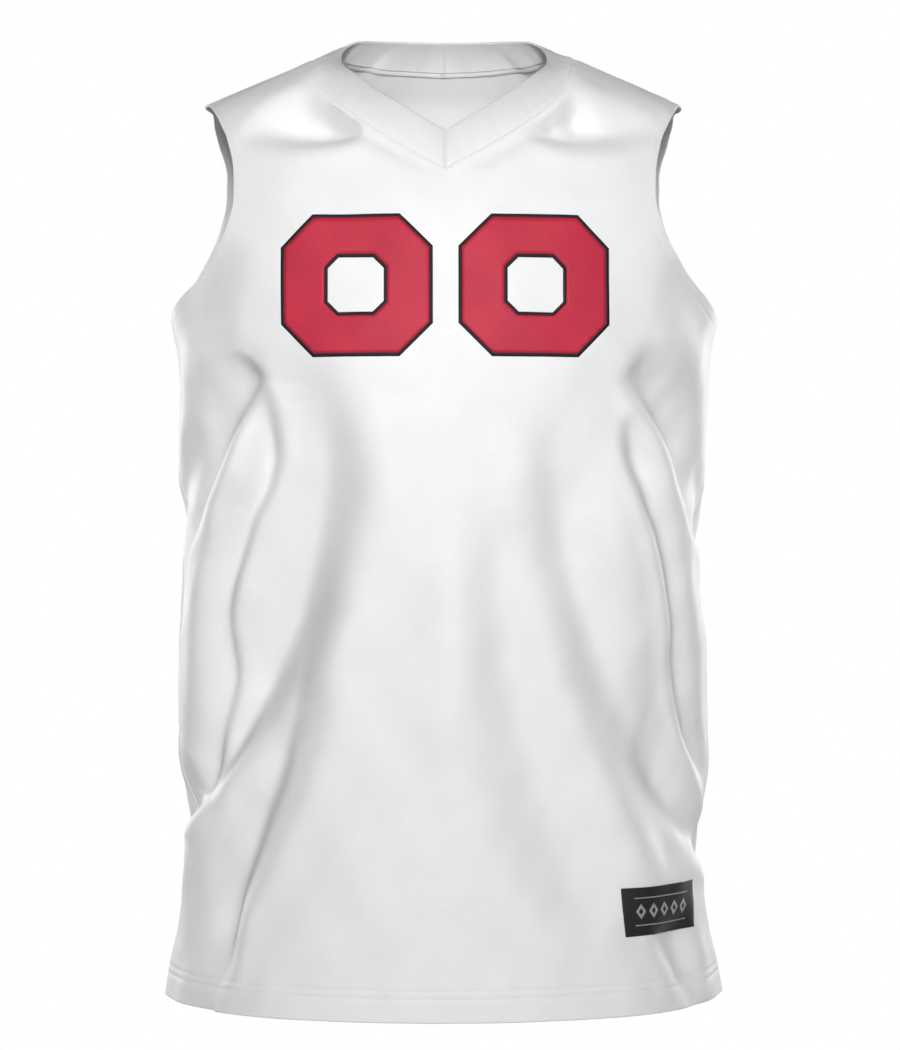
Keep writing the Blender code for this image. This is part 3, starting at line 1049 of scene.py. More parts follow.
@dataclass
class Wiring:
    """A short hand for wiring shader nodes."""

    tree: NodeTree

    def put(self, socket: NodeSocket, value: object) -> None:
        """Wire an output into a socket, or set a plain value on it.

        Args:
            socket: The socket.
            value: The output or the value.
        """
        if isinstance(value, NodeSocket):
            self.tree.links.new(value, socket)
        else:
            socket.default_value = value

    def math(self, operation: str, *values: object) -> NodeSocket:
        """Add a Math node.

        Args:
            operation: What it works out.
            values: Its inputs, sockets or numbers.

        Returns:
            Its output.
        """
        node = self.tree.nodes.new("ShaderNodeMath")
        node.operation = operation
        for socket, value in zip(node.inputs, values):
            self.put(socket, value)
        return node.outputs[0]

    def noise(self, vector: object, scale: float, detail: float) -> NodeSocket:
        """Add a Noise Texture node.

        Args:
            vector: The place where it is read.
            scale: How many flecks it has to a length of one.
            detail: How many finer layers it adds.

        Returns:
            Its value, from 0 to 1.
        """
        node = self.tree.nodes.new("ShaderNodeTexNoise")
        self.put(node.inputs["Vector"], vector)
        node.inputs["Scale"].default_value = scale
        node.inputs["Detail"].default_value = detail
        return node.outputs[0]

    def mixed(
        self, share: object, first: object, second: object, blend: str = "MIX"
    ) -> NodeSocket:
        """Add a Mix node for two colours.

        Args:
            share: The second colour's share, from 0 to 1.
            first: The colour at 0.
            second: The colour at 1.
            blend: How the second goes over the first.

        Returns:
            The mixed colour.
        """
        node = self.tree.nodes.new("ShaderNodeMix")
        node.data_type, node.blend_type = "RGBA", blend
        self.put(node.inputs[0], share)
        self.put(node.inputs[6], first)
        self.put(node.inputs[7], second)
        return node.outputs[2]


# The knit: how far a stitch's arms slant, the rise and the middle of its loops, the rise
# of its columns, and the flecks a metre and layers of its slow and its fine tone
ARM_SLANT = 1.3
LOOP_RISE = 0.25
LOOP_MIDDLE = 0.4
COLUMN_RISE = 0.7
SLOW_FLECKS = 26.0
SLOW_LAYERS = 3.0
FINE_FLECKS = 420.0
FINE_LAYERS = 2.0
FINE_SHARE = 0.5
TONE_MIDDLE = 0.75


def knit_group() -> NodeTree:
    """Build the shared knit: columns of small V stitches along the flat cut.

    Returns:
        A group that takes the cut's place and the stitch size in metres, and puts out
        the stitches' height from 0 to 1 and a slow tone about nought.
    """
    group = node_group(
        "knit_stitches",
        [
            Socket("Cut Place", "NodeSocketVector"),
            Socket("Stitch Width", "NodeSocketFloat"),
            Socket("Stitch Height", "NodeSocketFloat"),
        ],
        [Socket("Height", "NodeSocketFloat"), Socket("Tone", "NodeSocketFloat")],
    )
    start, end = group.nodes["Group Input"], group.nodes["Group Output"]
    wiring = Wiring(group)
    math = wiring.math
    apart = group.nodes.new("ShaderNodeSeparateXYZ")
    wiring.put(apart.inputs[0], start.outputs["Cut Place"])
    column = math("DIVIDE", apart.outputs[0], start.outputs["Stitch Width"])
    course = math("DIVIDE", apart.outputs[1], start.outputs["Stitch Height"])
    off_centre = math("ABSOLUTE", math("SUBTRACT", math("FRACT", column), 0.5))
    bent = math("ADD", course, math("MULTIPLY", off_centre, ARM_SLANT))
    loop = math("SINE", math("MULTIPLY", bent, 2.0 * pi))
    loop = math("MULTIPLY_ADD", loop, LOOP_RISE, LOOP_MIDDLE)
    rib = math("MULTIPLY", math("SUBTRACT", 0.5, off_centre), COLUMN_RISE)
    wiring.put(end.inputs["Height"], math("ADD", loop, rib))
    slow = wiring.noise(start.outputs["Cut Place"], SLOW_FLECKS, SLOW_LAYERS)
    fine = wiring.noise(start.outputs["Cut Place"], FINE_FLECKS, FINE_LAYERS)
    both = math("MULTIPLY_ADD", fine, FINE_SHARE, slow)
    wiring.put(end.inputs["Tone"], math("SUBTRACT", both, TONE_MIDDLE))
    return group


def weave_group() -> NodeTree:
    """Build the shared weave: fine threads that pass over and under each other.

    Returns:
        A group that takes a place and the thread's width in metres, and puts out the
        threads' height from 0 to 1.
    """
    group = node_group(
        "woven_threads",
        [Socket("Place", "NodeSocketVector"), Socket("Thread Width", "NodeSocketFloat")],
        [Socket("Height", "NodeSocketFloat")],
    )
    start, end = group.nodes["Group Input"], group.nodes["Group Output"]
    wiring = Wiring(group)
    math = wiring.math
    apart = group.nodes.new("ShaderNodeSeparateXYZ")
    wiring.put(apart.inputs[0], start.outputs["Place"])
    waves = []
    for axis in (0, 1):
        threads = math("DIVIDE", apart.outputs[axis], start.outputs["Thread Width"])
        waves.append(math("SINE", math("MULTIPLY", threads, pi)))
    crossed = math("MULTIPLY", waves[0], waves[1])
    wiring.put(end.inputs["Height"], math("MULTIPLY_ADD", crossed, 0.5, 0.5))
    return group


def shaded(name: str, roughness: float, sheen: float) -> tuple[Wiring, Node]:
    """Start a material with a Principled shader.

    Args:
        name: The material's name.
        roughness: How rough it is.
        sheen: How much soft sheen its fibres give.

    Returns:
        The wiring of its nodes, and the shader.
    """
    material = bpy.data.materials.new(name)
    material.use_nodes = True
    shader = material.node_tree.nodes["Principled BSDF"]
    shader.inputs["Roughness"].default_value = roughness
    shader.inputs["Sheen Weight"].default_value = sheen
    shader.inputs["Sheen Roughness"].default_value = 0.5
    return Wiring(material.node_tree), shader


def bumped(wiring: Wiring, shader: Node, heights: Sequence[tuple[object, float]]) -> None:
    """Chain bumps into a shader's normal.

    Args:
        wiring: The material's wiring.
        shader: The shader that takes the normal.
        heights: Height sockets, each with the real height in metres that it stands for.
    """
    normal = None
    for height, distance in heights:
        bump = wiring.tree.nodes.new("ShaderNodeBump")
        bump.inputs["Strength"].default_value = 1.0
        bump.inputs["Distance"].default_value = distance
        wiring.put(bump.inputs["Height"], height)
        if normal is not None:
            wiring.put(bump.inputs["Normal"], normal)
        normal = bump.outputs["Normal"]
    wiring.put(shader.inputs["Normal"], normal)


# How the knit is laid: a stitch's height in widths, and the slight crumple of the cloth,
# its flecks a metre, its layers and its depth in metres
STITCH_SQUAT = 0.75
CRUMPLES = 45.0
CRUMPLE_LAYERS = 3.0
CRUMPLE_DEPTH = 0.0003
MIDDLE_TONE = 0.5


def knitted(
    wiring: Wiring, shader: Node, knit: NodeTree, width: float, depth: float
) -> NodeSocket:
    """Lay the shared knit over the flat cut, and bump a shader with its stitches.

    Args:
        wiring: The material's wiring.
        shader: Its shader.
        knit: The shared knit.
        width: A stitch's width in metres.
        depth: How deep the stitches are, in metres.

    Returns:
        The knit's slow tone, about nought.
    """
    nodes = wiring.tree.nodes
    place = nodes.new("ShaderNodeUVMap")
    place.uv_map = "cut"
    group = nodes.new("ShaderNodeGroup")
    group.node_tree = knit
    wiring.put(group.inputs["Cut Place"], place.outputs[0])
    group.inputs["Stitch Width"].default_value = width
    group.inputs["Stitch Height"].default_value = width * STITCH_SQUAT
    crumple = wiring.noise(place.outputs[0], CRUMPLES, CRUMPLE_LAYERS)
    bumped(wiring, shader, [(crumple, CRUMPLE_DEPTH), (group.outputs["Height"], depth)])
    return group.outputs["Tone"]


@dataclass(frozen=True)
class KnitFinish:
    """A smooth polyester knit, with its stitches' size in metres."""

    name: str
    light: Colour
    dark: Colour
    painted_inside_shade: Colour = (0.87, 0.87, 0.87, 1.0)  # painted shade: how much darker its colour is made on the inside faces
    stitch_width: float = 0.0008
    stitch_depth: float = 0.00002
    roughness: float = 0.58
    sheen: float = 0.06
    contrast: float = 1.6

    def material(self, knit: NodeTree) -> Material:
        """Make the material.

        Args:
            knit: The shared knit.

        Returns:
            The material.
        """
        wiring, shader = shaded(self.name, self.roughness, self.sheen)
        tone = knitted(wiring, shader, knit, self.stitch_width, self.stitch_depth)
        share = wiring.math("MULTIPLY_ADD", tone, self.contrast, MIDDLE_TONE)
        yarn = wiring.mixed(share, self.dark, self.light)
        # Painted shade: the inside faces are darkened by this colour, and each rim by half of it
        wrong = wiring.tree.nodes.new("ShaderNodeAttribute")
        wrong.attribute_name = WRONG_SIDE
        yarn = wiring.mixed(wrong.outputs["Fac"], yarn, self.painted_inside_shade, "MULTIPLY")
        wiring.put(shader.inputs["Base Color"], yarn)
        return bpy.data.materials[self.name]


@dataclass(frozen=True)
class WovenFinish:
    """A tight weave, as of a label or its threads, with a thread's size in metres."""

    name: str
    # The threads' colour on their tops, then a darker colour painted as shade in the hollows between
    # them
    high: Colour
    low: Colour
    thread_width: float = 0.00035
    thread_depth: float = 0.00006
    roughness: float = 0.7
    sheen: float = 0.1

    def material(self, weave: NodeTree) -> Material:
        """Make the material.

        Args:
            weave: The shared weave.

        Returns:
            The material.
        """
        wiring, shader = shaded(self.name, self.roughness, self.sheen)
        nodes = wiring.tree.nodes
        place = nodes.new("ShaderNodeTexCoord")
        turned = nodes.new("ShaderNodeMapping")
        turned.inputs["Rotation"].default_value = (pi / 2.0, 0.0, 0.0)
        wiring.put(turned.inputs["Vector"], place.outputs["Object"])
        group = nodes.new("ShaderNodeGroup")
        group.node_tree = weave
        wiring.put(group.inputs["Place"], turned.outputs[0])
        group.inputs["Thread Width"].default_value = self.thread_width
        # Painted shade: the colour darkens from the threads' tops into the hollows of the weave
        colour = wiring.mixed(group.outputs["Height"], self.low, self.high)
        wiring.put(shader.inputs["Base Color"], colour)
        bumped(wiring, shader, [(group.outputs["Height"], self.thread_depth)])
        return bpy.data.materials[self.name]


@dataclass(frozen=True)
class PrintFinish:
    """A pressed-on film of colour, through which the knit's stitches, with their size in
    metres, show a little."""

    name: str
    colour: Colour
    roughness: float = 0.6
    shine: float = 0.25
    stitch_width: float = 0.0008
    stitch_depth: float = 0.00001
    contrast: float = 1.5
    pale: float = 1.18  # how much paler it gets where the knit's tone is high
    deep: float = 0.86  # how much deeper where it is low

    def material(self, knit: NodeTree) -> Material:
        """Make the material.

        Args:
            knit: The shared knit.

        Returns:
            The material.
        """
        wiring, shader = shaded(self.name, self.roughness, 0.0)
        shader.inputs["Specular IOR Level"].default_value = self.shine
        tone = knitted(wiring, shader, knit, self.stitch_width, self.stitch_depth)
        share = wiring.math("MULTIPLY_ADD", tone, self.contrast, MIDDLE_TONE)
        paler, darker = (
            tuple(min(1.0, much * c) for c in self.colour[:3]) + (1.0,)
            for much in (self.pale, self.deep)
        )
        wiring.put(shader.inputs["Base Color"], wiring.mixed(share, darker, paler))
        return bpy.data.materials[self.name]


@dataclass
class Panel:
    """The front or the back panel, one piece from the hem to the shoulders."""

    side: Side
    cloth: Cloth
    wall: float = 0.9
    folded_wall: float = 1.7  # the wall where the hem and the armhole edge are turned in
    hem_turn: float = 24.0
    armhole_turn: float = 9.0
    half_columns: int = 84  # columns of faces from the centre line to the side
    seam_rows: int = 158
    armhole_rows: int = 56
    neck_share: float = 0.682  # the neck's share of half of the top
    # Heights of the rows of points across the turned-in hem
    hem_rows: tuple[float, ...] = (
        0.0, 1.0, 2.4, 5.0, 8.5, 12.0, 16.0, 17.0, 18.0, 19.2, 20.6, 22.0, 23.2, 24.4, 25.6, 27.6,
    )
    hem_reach: float = 28.0  # how far up the hem's own rows reach
    # More rows below the shoulder tip, as shares of the armhole
    tip_rows: tuple[float, ...] = (0.985, 0.994)
    # More columns beside the side edge, as shares of the half
    edge_columns: tuple[float, ...] = (0.0025, 0.006, 0.018, 0.030)
    seam_points: int = 41
    hem_step: float = 3.0  # how far the hem's folded wall takes to thin out
    armhole_step: float = 2.5  # the same for the armhole edge

    def side_edge(self) -> tuple[Array, Array, int]:
        """Lay out the panel's side, from the hem to the shoulder tip.

        Returns:
            The turns, the heights, and the number of the row at the underarm.
        """
        armhole = armhole_line(self.side)
        raised = np.linspace(0.0, 1.0, self.armhole_rows + 1)
        raised = np.sort(np.append(raised, self.tip_rows))
        rows = evenly(self.cloth.form.point(*armhole), raised)
        turn, height = picked(np.stack(armhole, axis=-1), rows).T
        seam = np.linspace(HEM_HEIGHT, height[0], self.seam_rows + 1)[1:-1]
        seam = seam[seam - HEM_HEIGHT > self.hem_reach]
        seam = np.concatenate([HEM_HEIGHT + np.array(self.hem_rows), seam])
        seam_turn = np.full(len(seam), SIDE_TURN)
        return np.concatenate([seam_turn, turn]), np.concatenate([seam, height]), len(seam)

    def places(self) -> tuple[Array, Array, Array]:
        """Lay the grid over the panel, four-sided and smooth between its edges.

        Returns:
            The turns and heights of the grid, by rows from the hem, and the length
            round the body of each place from the panel's centre line.
        """
        form, middle = self.cloth.form, self.side.middle
        across = np.linspace(0.0, 1.0, self.half_columns + 1)
        across = np.sort(np.append(across, 1.0 - np.array(self.edge_columns)))
        edge_turn, edge_height, underarm = self.side_edge()
        neck = np.clip(across / self.neck_share, 0.0, 1.0)
        shoulder = np.clip((across - self.neck_share) / (1.0 - self.neck_share), 0.0, 1.0)
        neck_seam = neck_line(self.side)
        top = picked(np.stack(neck_seam, axis=-1), evenly(form.point(*neck_seam), neck))
        seam = shoulder_line(np.linspace(0.0, 1.0, self.seam_points))
        on_seam = picked(np.stack(seam, axis=-1), evenly(form.point(*seam), shoulder))
        top = np.where((across > self.neck_share)[:, None], on_seam, top)
        edge = form.unrolled(edge_turn, edge_height, middle)
        top_length = form.unrolled(top[:, 0], top[:, 1], middle)
        count = len(edge_turn)
        steps = np.linalg.norm(np.diff(form.point(edge_turn, edge_height), axis=0), axis=-1)
        climbed = np.concatenate([[0.0], np.cumsum(steps)])
        raised = np.clip(
            (climbed - climbed[underarm]) / (climbed[-1] - climbed[underarm]), 0.0, 1.0
        )
        centre = edge_height + 0.0
        above = np.arange(count) > underarm
        reach = top[0, 1] - edge_height[underarm]
        centre[above] = edge_height[underarm] + raised[above] * reach
        drawn = raised[:, None] ** 2
        length = edge[:, None] * across + drawn * (top_length - edge[-1] * across)
        height = centre[:, None] + (edge_height - centre)[:, None] * across
        height += drawn * (top[:, 1] - top[0, 1] - (edge_height[-1] - top[0, 1]) * across)
        turn = form.rolled(length, height, self.side)
        halves = (2.0 * middle - turn, -length), (turn, length)
        if self.side is Side.BACK:
            halves = halves[::-1]
        turns, lengths = (
            np.hstack([first[:, :0:-1], second]) for first, second in zip(*halves)
        )
        return turns, np.hstack([height[:, :0:-1], height]), lengths

    def build(self, finish: Material) -> Piece:
        """Args:
            finish: The knit.

        Returns:
            The panel.
        """
        turn, height, length = self.places()
        outer = drawn_in(self.cloth.point(turn, height), SEAM_GAP / 2.0)
        folded = near(np.maximum(height - HEM_HEIGHT - self.hem_turn, 0.0), self.hem_step)
        for sign in (1.0, -1.0):
            edge_turn, edge_height = armhole_line(self.side)
            distance, _ = reach_of(self.cloth.form, turn, height, sign * edge_turn, edge_height)
            beyond = np.maximum(np.abs(distance) - self.armhole_turn, 0.0)
            folded = np.maximum(folded, near(beyond, self.armhole_step))
        wall = self.wall + (self.folded_wall - self.wall) * folded
        flat = np.stack([length, height - HEM_HEIGHT], axis=-1)
        normal = grid_normals(outer)
        name = self.side.value
        return sharing(
            walled(name + "_cloth", outer, normal, wall, flat, finish), "panel_cloth", name + "_panel"
        )


def drawn_in(points: Array, amount: float) -> Array:
    """Draw the edges of a grid inward.

    Args:
        points: The grid's points.
        amount: How far its edges move.

    Returns:
        The same grid with its edges moved.
    """
    grid = points.copy()
    for first, second in ((0, 1), (-1, -2)):
        grid[first] += amount * unit(points[second] - points[first])
        grid[:, first] += amount * unit(grid[:, second] - grid[:, first])
    return grid


def grid_normals(points: Array) -> Array:
    """Outward unit normals of a grid, from its neighbouring points."""
    return unit(np.cross(np.gradient(points, axis=1), np.gradient(points, axis=0)))


def armhole_line(side: Side) -> Line:
    """Lay out the left armhole's edge of a panel, from the underarm up.

    Args:
        side: The panel.

    Returns:
        The turns and heights along it.
    """
    columns = (0, 1) if side is Side.FRONT else (2, 3)
    curves = station_curves(ARMHOLE)
    station = np.linspace(0.0, len(ARMHOLE) - 1.0, ROW_POINTS)
    return curves[columns[0]](station), curves[columns[1]](station)


def neck_line(side: Side) -> Line:
    """Lay out the left half of a panel's neck seam, from the middle to the neck point.

    Args:
        side: The panel.

    Returns:
        The turns and heights along it.
    """
    seam = smooth_curve([s.turn for s in NECK], [s.seam_height for s in NECK])
    turn = np.linspace(side.middle, NECK_POINT_TURN, NECK_POINTS)
    return turn, seam(turn)


def shoulder_line(shares: Array) -> Line:
    """Lay out the left shoulder seam.

    Args:
        shares: Shares of the way from the neck point to the shoulder tip.

    Returns:
        The turns and heights there.
    """
    top, tip = neck_line(Side.FRONT)[1][-1], ARMHOLE[-1]
    turn = NECK_POINT_TURN + (tip.front_turn - NECK_POINT_TURN) * shares
    return turn, top + (tip.front_height - top) * shares


def side_line(count: int, above_hem: float, below_armhole: float) -> Line:
    """Lay out the left side seam.

    Args:
        count: How many places it has.
        above_hem: How far above the hem it starts.
        below_armhole: How far below the armhole it ends.

    Returns:
        The turns and heights there.
    """
    ends = HEM_HEIGHT + above_hem, ARMHOLE[0].front_height - below_armhole
    return np.full(count, SIDE_TURN), np.linspace(*ends, count)


@dataclass
class NeckBand:
    """The doubled band round the neck, folded at its free edge and mitred at the V."""

    cloth: Cloth
    wall: float = 2.2
    crown: float = 1.5
    mitre: float = 0.8
    mitre_width: float = 1.3  # how far the mitre's dip spreads to each side
    # More columns beside the mitre, as shares of the front
    mitre_columns: tuple[float, ...] = (0.003, 0.006, 0.018)
    front_columns: int = 84
    back_columns: int = 64
    # Places across each face, as shares of the way from the seam to the fold
    shares: tuple[float, ...] = (0.0, 0.03, 0.07, 0.13, 0.22, 0.35, 0.5, 0.65, 0.78, 0.88, 0.95, 0.985)
    # Places round the fold, from the outer face on
    fold_angles: tuple[float, ...] = (25.0, 60.0, 90.0, 120.0, 155.0)
    # Slight waves along the seam, each with its height and waves round the neck
    puckers: tuple[tuple[float, float], ...] = ((0.16, 57.0), (0.14, 36.0))
    seam_rise: float = 0.8  # how far the band's face stands up from its seam
    seam_round: float = 1.8  # how far from the seam it takes to rise

    def ring(self) -> Line:
        """Lay out the columns once round the neck, from the centre back by the right.

        Returns:
            Their turns and heights on the neck seam.
        """
        fine = np.append(np.linspace(0.0, 1.0, self.front_columns + 1), self.mitre_columns)
        halves = []
        for side, shares in (
            (Side.FRONT, np.sort(fine)),
            (Side.BACK, np.linspace(0.0, 1.0, self.back_columns + 1)),
        ):
            line = neck_line(side)
            rows = evenly(self.cloth.form.point(*line), shares)
            halves.append(picked(np.stack(line, axis=-1), rows))
        half = np.concatenate([halves[0], halves[1][-2::-1]])
        turn = np.concatenate([-half[:0:-1, 0], half[:-1, 0]])
        return turn, np.concatenate([half[:0:-1, 1], half[:-1, 1]])

    def build(self, finish: Material) -> Piece:
        """Loft the band's folded cross-section round the neck.

        Args:
            finish: The knit.

        Returns:
            The band.
        """
        turn, height = self.ring()
        seam = self.cloth.point(turn, height)
        turns, *columns = zip(*((s.turn, s.edge_beside, s.edge_behind, s.edge_above) for s in NECK))
        beside, behind, above = (smooth_curve(turns, c)(np.abs(turn)) for c in columns)
        edge = np.stack([np.sign(turn) * beside, behind, above], axis=-1)
        middle = (seam + edge) / 2.0
        along = np.roll(middle, -1, axis=0) - np.roll(middle, 1, axis=0)
        upward, width = unit(edge - seam), np.linalg.norm(edge - seam, axis=-1)
        normal = unit(np.cross(along, edge - seam))
        seam = seam + SEAM_GAP / 2.0 * upward
        steps = np.linalg.norm(np.diff(middle, axis=0), axis=-1)
        length = np.concatenate([[0.0], np.cumsum(steps)])
        round_neck = 2.0 * pi * length / (length[-1] + steps[-1])
        from_mitre = length - length[np.argmin(np.abs(turn))]
        drawn = self.mitre * np.exp(-((from_mitre / self.mitre_width) ** 2))
        pucker = sum(rise * np.sin(waves * round_neck) for rise, waves in self.puckers)
        points = []
        for share in self.shares:
            swell = self.crown * 4.0 * share * (1.0 - share) + pucker * (1.0 - share)
            risen = 1.0 - np.exp(-((share * width / self.seam_round) ** 2))
            swell = swell + self.seam_rise * risen * (1.0 - share)
            points.append(seam + share * (edge - seam) + normal * (swell - drawn)[:, None])
        core = edge - normal * (self.wall / 2.0 + drawn[:, None])
        for angle in self.fold_angles:
            out, up = cos(radians(angle)), sin(radians(angle))
            points.append(core + self.wall / 2.0 * (out * normal + up * upward))
        for share in self.shares[::-1]:
            sag = self.crown * 4.0 * share * (1.0 - share) - self.wall
            points.append(seam + share * (edge - seam) + normal * sag)
        face, fold = len(self.shares), len(self.fold_angles)
        # The band's inner face takes the painted shade of the inside, its fold half of it
        wrong = np.repeat([0.0, 0.5, 1.0], [face, fold, face])
        thing = tubed("neck_band_cloth", [np.stack(points, axis=1)], True, finish, wrong)
        return sharing(thing, "band_cloth", "neck_band")


class Outline(NamedTuple):
    """A cut figure with its hole, as corners in lengths from the centre line and heights."""

    outer: Array
    hole: Array | None = None


def chamfered(middle: Pair, width: float, height: float, cut: float) -> Array:
    """Draw a rectangle with its corners cut off, anticlockwise.

    Args:
        middle: Its middle.
        width: Its width.
        height: Its height.
        cut: How much of each side a cut corner takes.

    Returns:
        Its eight corners.
    """
    x, z = width / 2.0, height / 2.0
    corners = [(x - cut, -z), (x, cut - z), (x, z - cut), (x - cut, z)]
    corners += [(cut - x, z), (-x, z - cut), (-x, cut - z), (cut - x, -z)]
    return np.array(corners) + middle


def lozenge(middle: Pair, half_width: float, half_height: float) -> Array:
    """A square stood on its corner, anticlockwise from its lowest corner."""
    ends = [(0.0, -half_height), (half_width, 0.0), (0.0, half_height), (-half_width, 0.0)]
    return np.array(ends) + middle


def finely(corners: Array, step: float) -> Array:
    """Divide the sides of a closed outline.

    Args:
        corners: The outline's corners.
        step: The longest side that may stay.

    Returns:
        The same outline with points at most a step apart.
    """
    points = []
    for start, end in zip(corners, np.roll(corners, -1, axis=0)):
        count = max(1, int(np.ceil(np.linalg.norm(end - start) / step)))
        points += [start + (end - start) * i / count for i in range(count)]
    return np.array(points)


def inside(points: Array, corners: Array) -> Array:
    """Tell which points lie inside a closed outline.

    Args:
        points: The points.
        corners: The outline's corners.

    Returns:
        True for each point inside.
    """
    odd = np.zeros(len(points), bool)
    for start, end in zip(corners, np.roll(corners, -1, axis=0)):
        crosses = (start[1] > points[:, 1]) != (end[1] > points[:, 1])
        rise = end[1] - start[1] if end[1] != start[1] else 1.0
        at = start[0] + (points[:, 1] - start[1]) * (end[0] - start[0]) / rise
        odd ^= crosses & (points[:, 0] < at)
    return odd


@dataclass
class Film:
    """Flat figures laid on the front panel, bent with its creases."""

    name: str
    cloth: Cloth
    outlines: Sequence[Outline]
    lift: float  # how far the film's face stands off the cloth
    wall: float = 0.1
    step: float = 3.0
    clearance: float = 0.55  # how far inner points keep from the edge, in steps
    joined: float = 1.0e-5  # how near two points become one

    def flat_faces(self, outline: Outline) -> Line:
        """Fill one figure with triangles.

        Args:
            outline: The figure.

        Returns:
            Its flat points and its triangles.
        """
        rings = [finely(ring, self.step) for ring in outline if ring is not None]
        low, high = rings[0].min(axis=0), rings[0].max(axis=0)
        grid = np.stack(np.meshgrid(
            np.arange(low[0], high[0], self.step), np.arange(low[1], high[1], self.step)
        ), axis=-1).reshape(-1, 2)
        edge = np.concatenate(rings)
        away = np.linalg.norm(grid[:, None] - edge, axis=-1).min(axis=1)
        clear = away > self.clearance * self.step
        points = np.concatenate([edge, grid[clear]])
        edges, start = [], 0
        for ring in rings:
            count = len(ring)
            edges += [(start + i, start + (i + 1) % count) for i in range(count)]
            start += count
        filled = delaunay_2d_cdt([tuple(p) for p in points], edges, [], 0, self.joined)
        flat = np.array([tuple(p) for p in filled[0]])
        faces = np.array([list(f) for f in filled[2]])
        centres = flat[faces].mean(axis=1)
        kept = inside(centres, rings[0])
        for ring in rings[1:]:
            kept &= ~inside(centres, ring)
        return flat, faces[kept]

    def build(self, finish: Material, slot: str) -> Piece:
        """Lay the figures on the cloth and give them their wall.

        Args:
            finish: The film's material.
            slot: The record's material slot.

        Returns:
            The film.
        """
        points, faces, start = [], [], 0
        for outline in self.outlines:
            flat, triangles = self.flat_faces(outline)
            first, second, third = (flat[triangles[:, i]] for i in range(3))
            wound = np.cross(second - first, third - first)
            triangles[wound < 0.0] = triangles[wound < 0.0, ::-1]
            points.append(flat)
            faces.append(triangles + start)
            start += len(flat)
        flat, faces = np.concatenate(points), np.concatenate(faces)
        turn = self.cloth.form.rolled(flat[:, 0], flat[:, 1], Side.FRONT)
        normal = normals_of(self.cloth.point, turn, flat[:, 1])
        placed = self.cloth.point(turn, flat[:, 1]) + normal * self.lift
        thing = new_object(self.name, placed, faces.tolist(), finish, flat)
        solid = thing.modifiers.new("wall", "SOLIDIFY")
        solid.thickness, solid.offset = self.wall * MM, -1.0
        bpy.ops.object.select_all(action="DESELECT")
        bpy.context.view_layer.objects.active = thing
        bpy.ops.object.modifier_apply(modifier=solid.name)
        for face in thing.data.polygons:
            numbers = list(face.vertices)
            face.use_smooth = (min(numbers) < len(placed)) == (max(numbers) < len(placed))
        return sharing(thing, slot)


@dataclass
class ChestNumber:
    """Two plain block noughts across the chest, in a fill colour with a thin dark edge."""

    cloth: Cloth
    middle_height: float = -195.0
    width: float = 114.0
    height: float = 106.0
    gap: float = 25.0
    stroke: float = 29.0
    cut: float = 24.0  # how much is cut off an outer corner
    edge: float = 2.7
    lap: float = 0.6
    upright: float = 1.12  # an upright stroke's width in strokes
    hole_cut: float = 0.42  # the cut of the hole's corners in outer cuts
    cut_growth: float = 0.6  # how much a cut grows with an outline that is grown by one
    edge_lift: float = 0.26  # how far the edge's face stands off the cloth
    fill_lift: float = 0.48
    fill_wall: float = 0.28

    def ring(self, middle: Pair, grown: float) -> Outline:
        """Draw a nought's outer edge and its hole.

        Args:
            middle: The nought's middle.
            grown: How far both are grown outward.

        Returns:
            The outline.
        """
        upright, more_cut = self.stroke * self.upright, self.cut_growth * grown
        outer = chamfered(
            middle, self.width + 2.0 * grown, self.height + 2.0 * grown, self.cut + more_cut
        )
        hole = chamfered(
            middle,
            self.width - 2.0 * (upright - grown),
            self.height - 2.0 * (self.stroke - grown),
            self.cut * self.hole_cut + more_cut,
        )
        return Outline(outer, hole)

    def build(self, edge: Material, fill: Material) -> None:
        """Lay the dark rims, then the fill between them.

        Args:
            edge: The dark film.
            fill: The fill's film.
        """
        rims, fills = [], []
        for way in (-1.0, 1.0):
            middle = (way * (self.width + self.gap) / 2.0, self.middle_height)
            grown, true, shrunk = (self.ring(middle, g) for g in (self.edge, 0.0, -self.edge))
            under = self.ring(middle, self.lap), self.ring(middle, -self.lap)
            rims += [Outline(grown.outer, under[1].outer), Outline(under[0].hole, shrunk.hole)]
            fills.append(true)
        edges = Film("number_edge", self.cloth, rims, self.edge_lift)
        edges.build(edge, "panel_cloth")
        filling = Film("number_fill", self.cloth, fills, self.fill_lift, self.fill_wall)
        filling.build(fill, "panel_cloth")


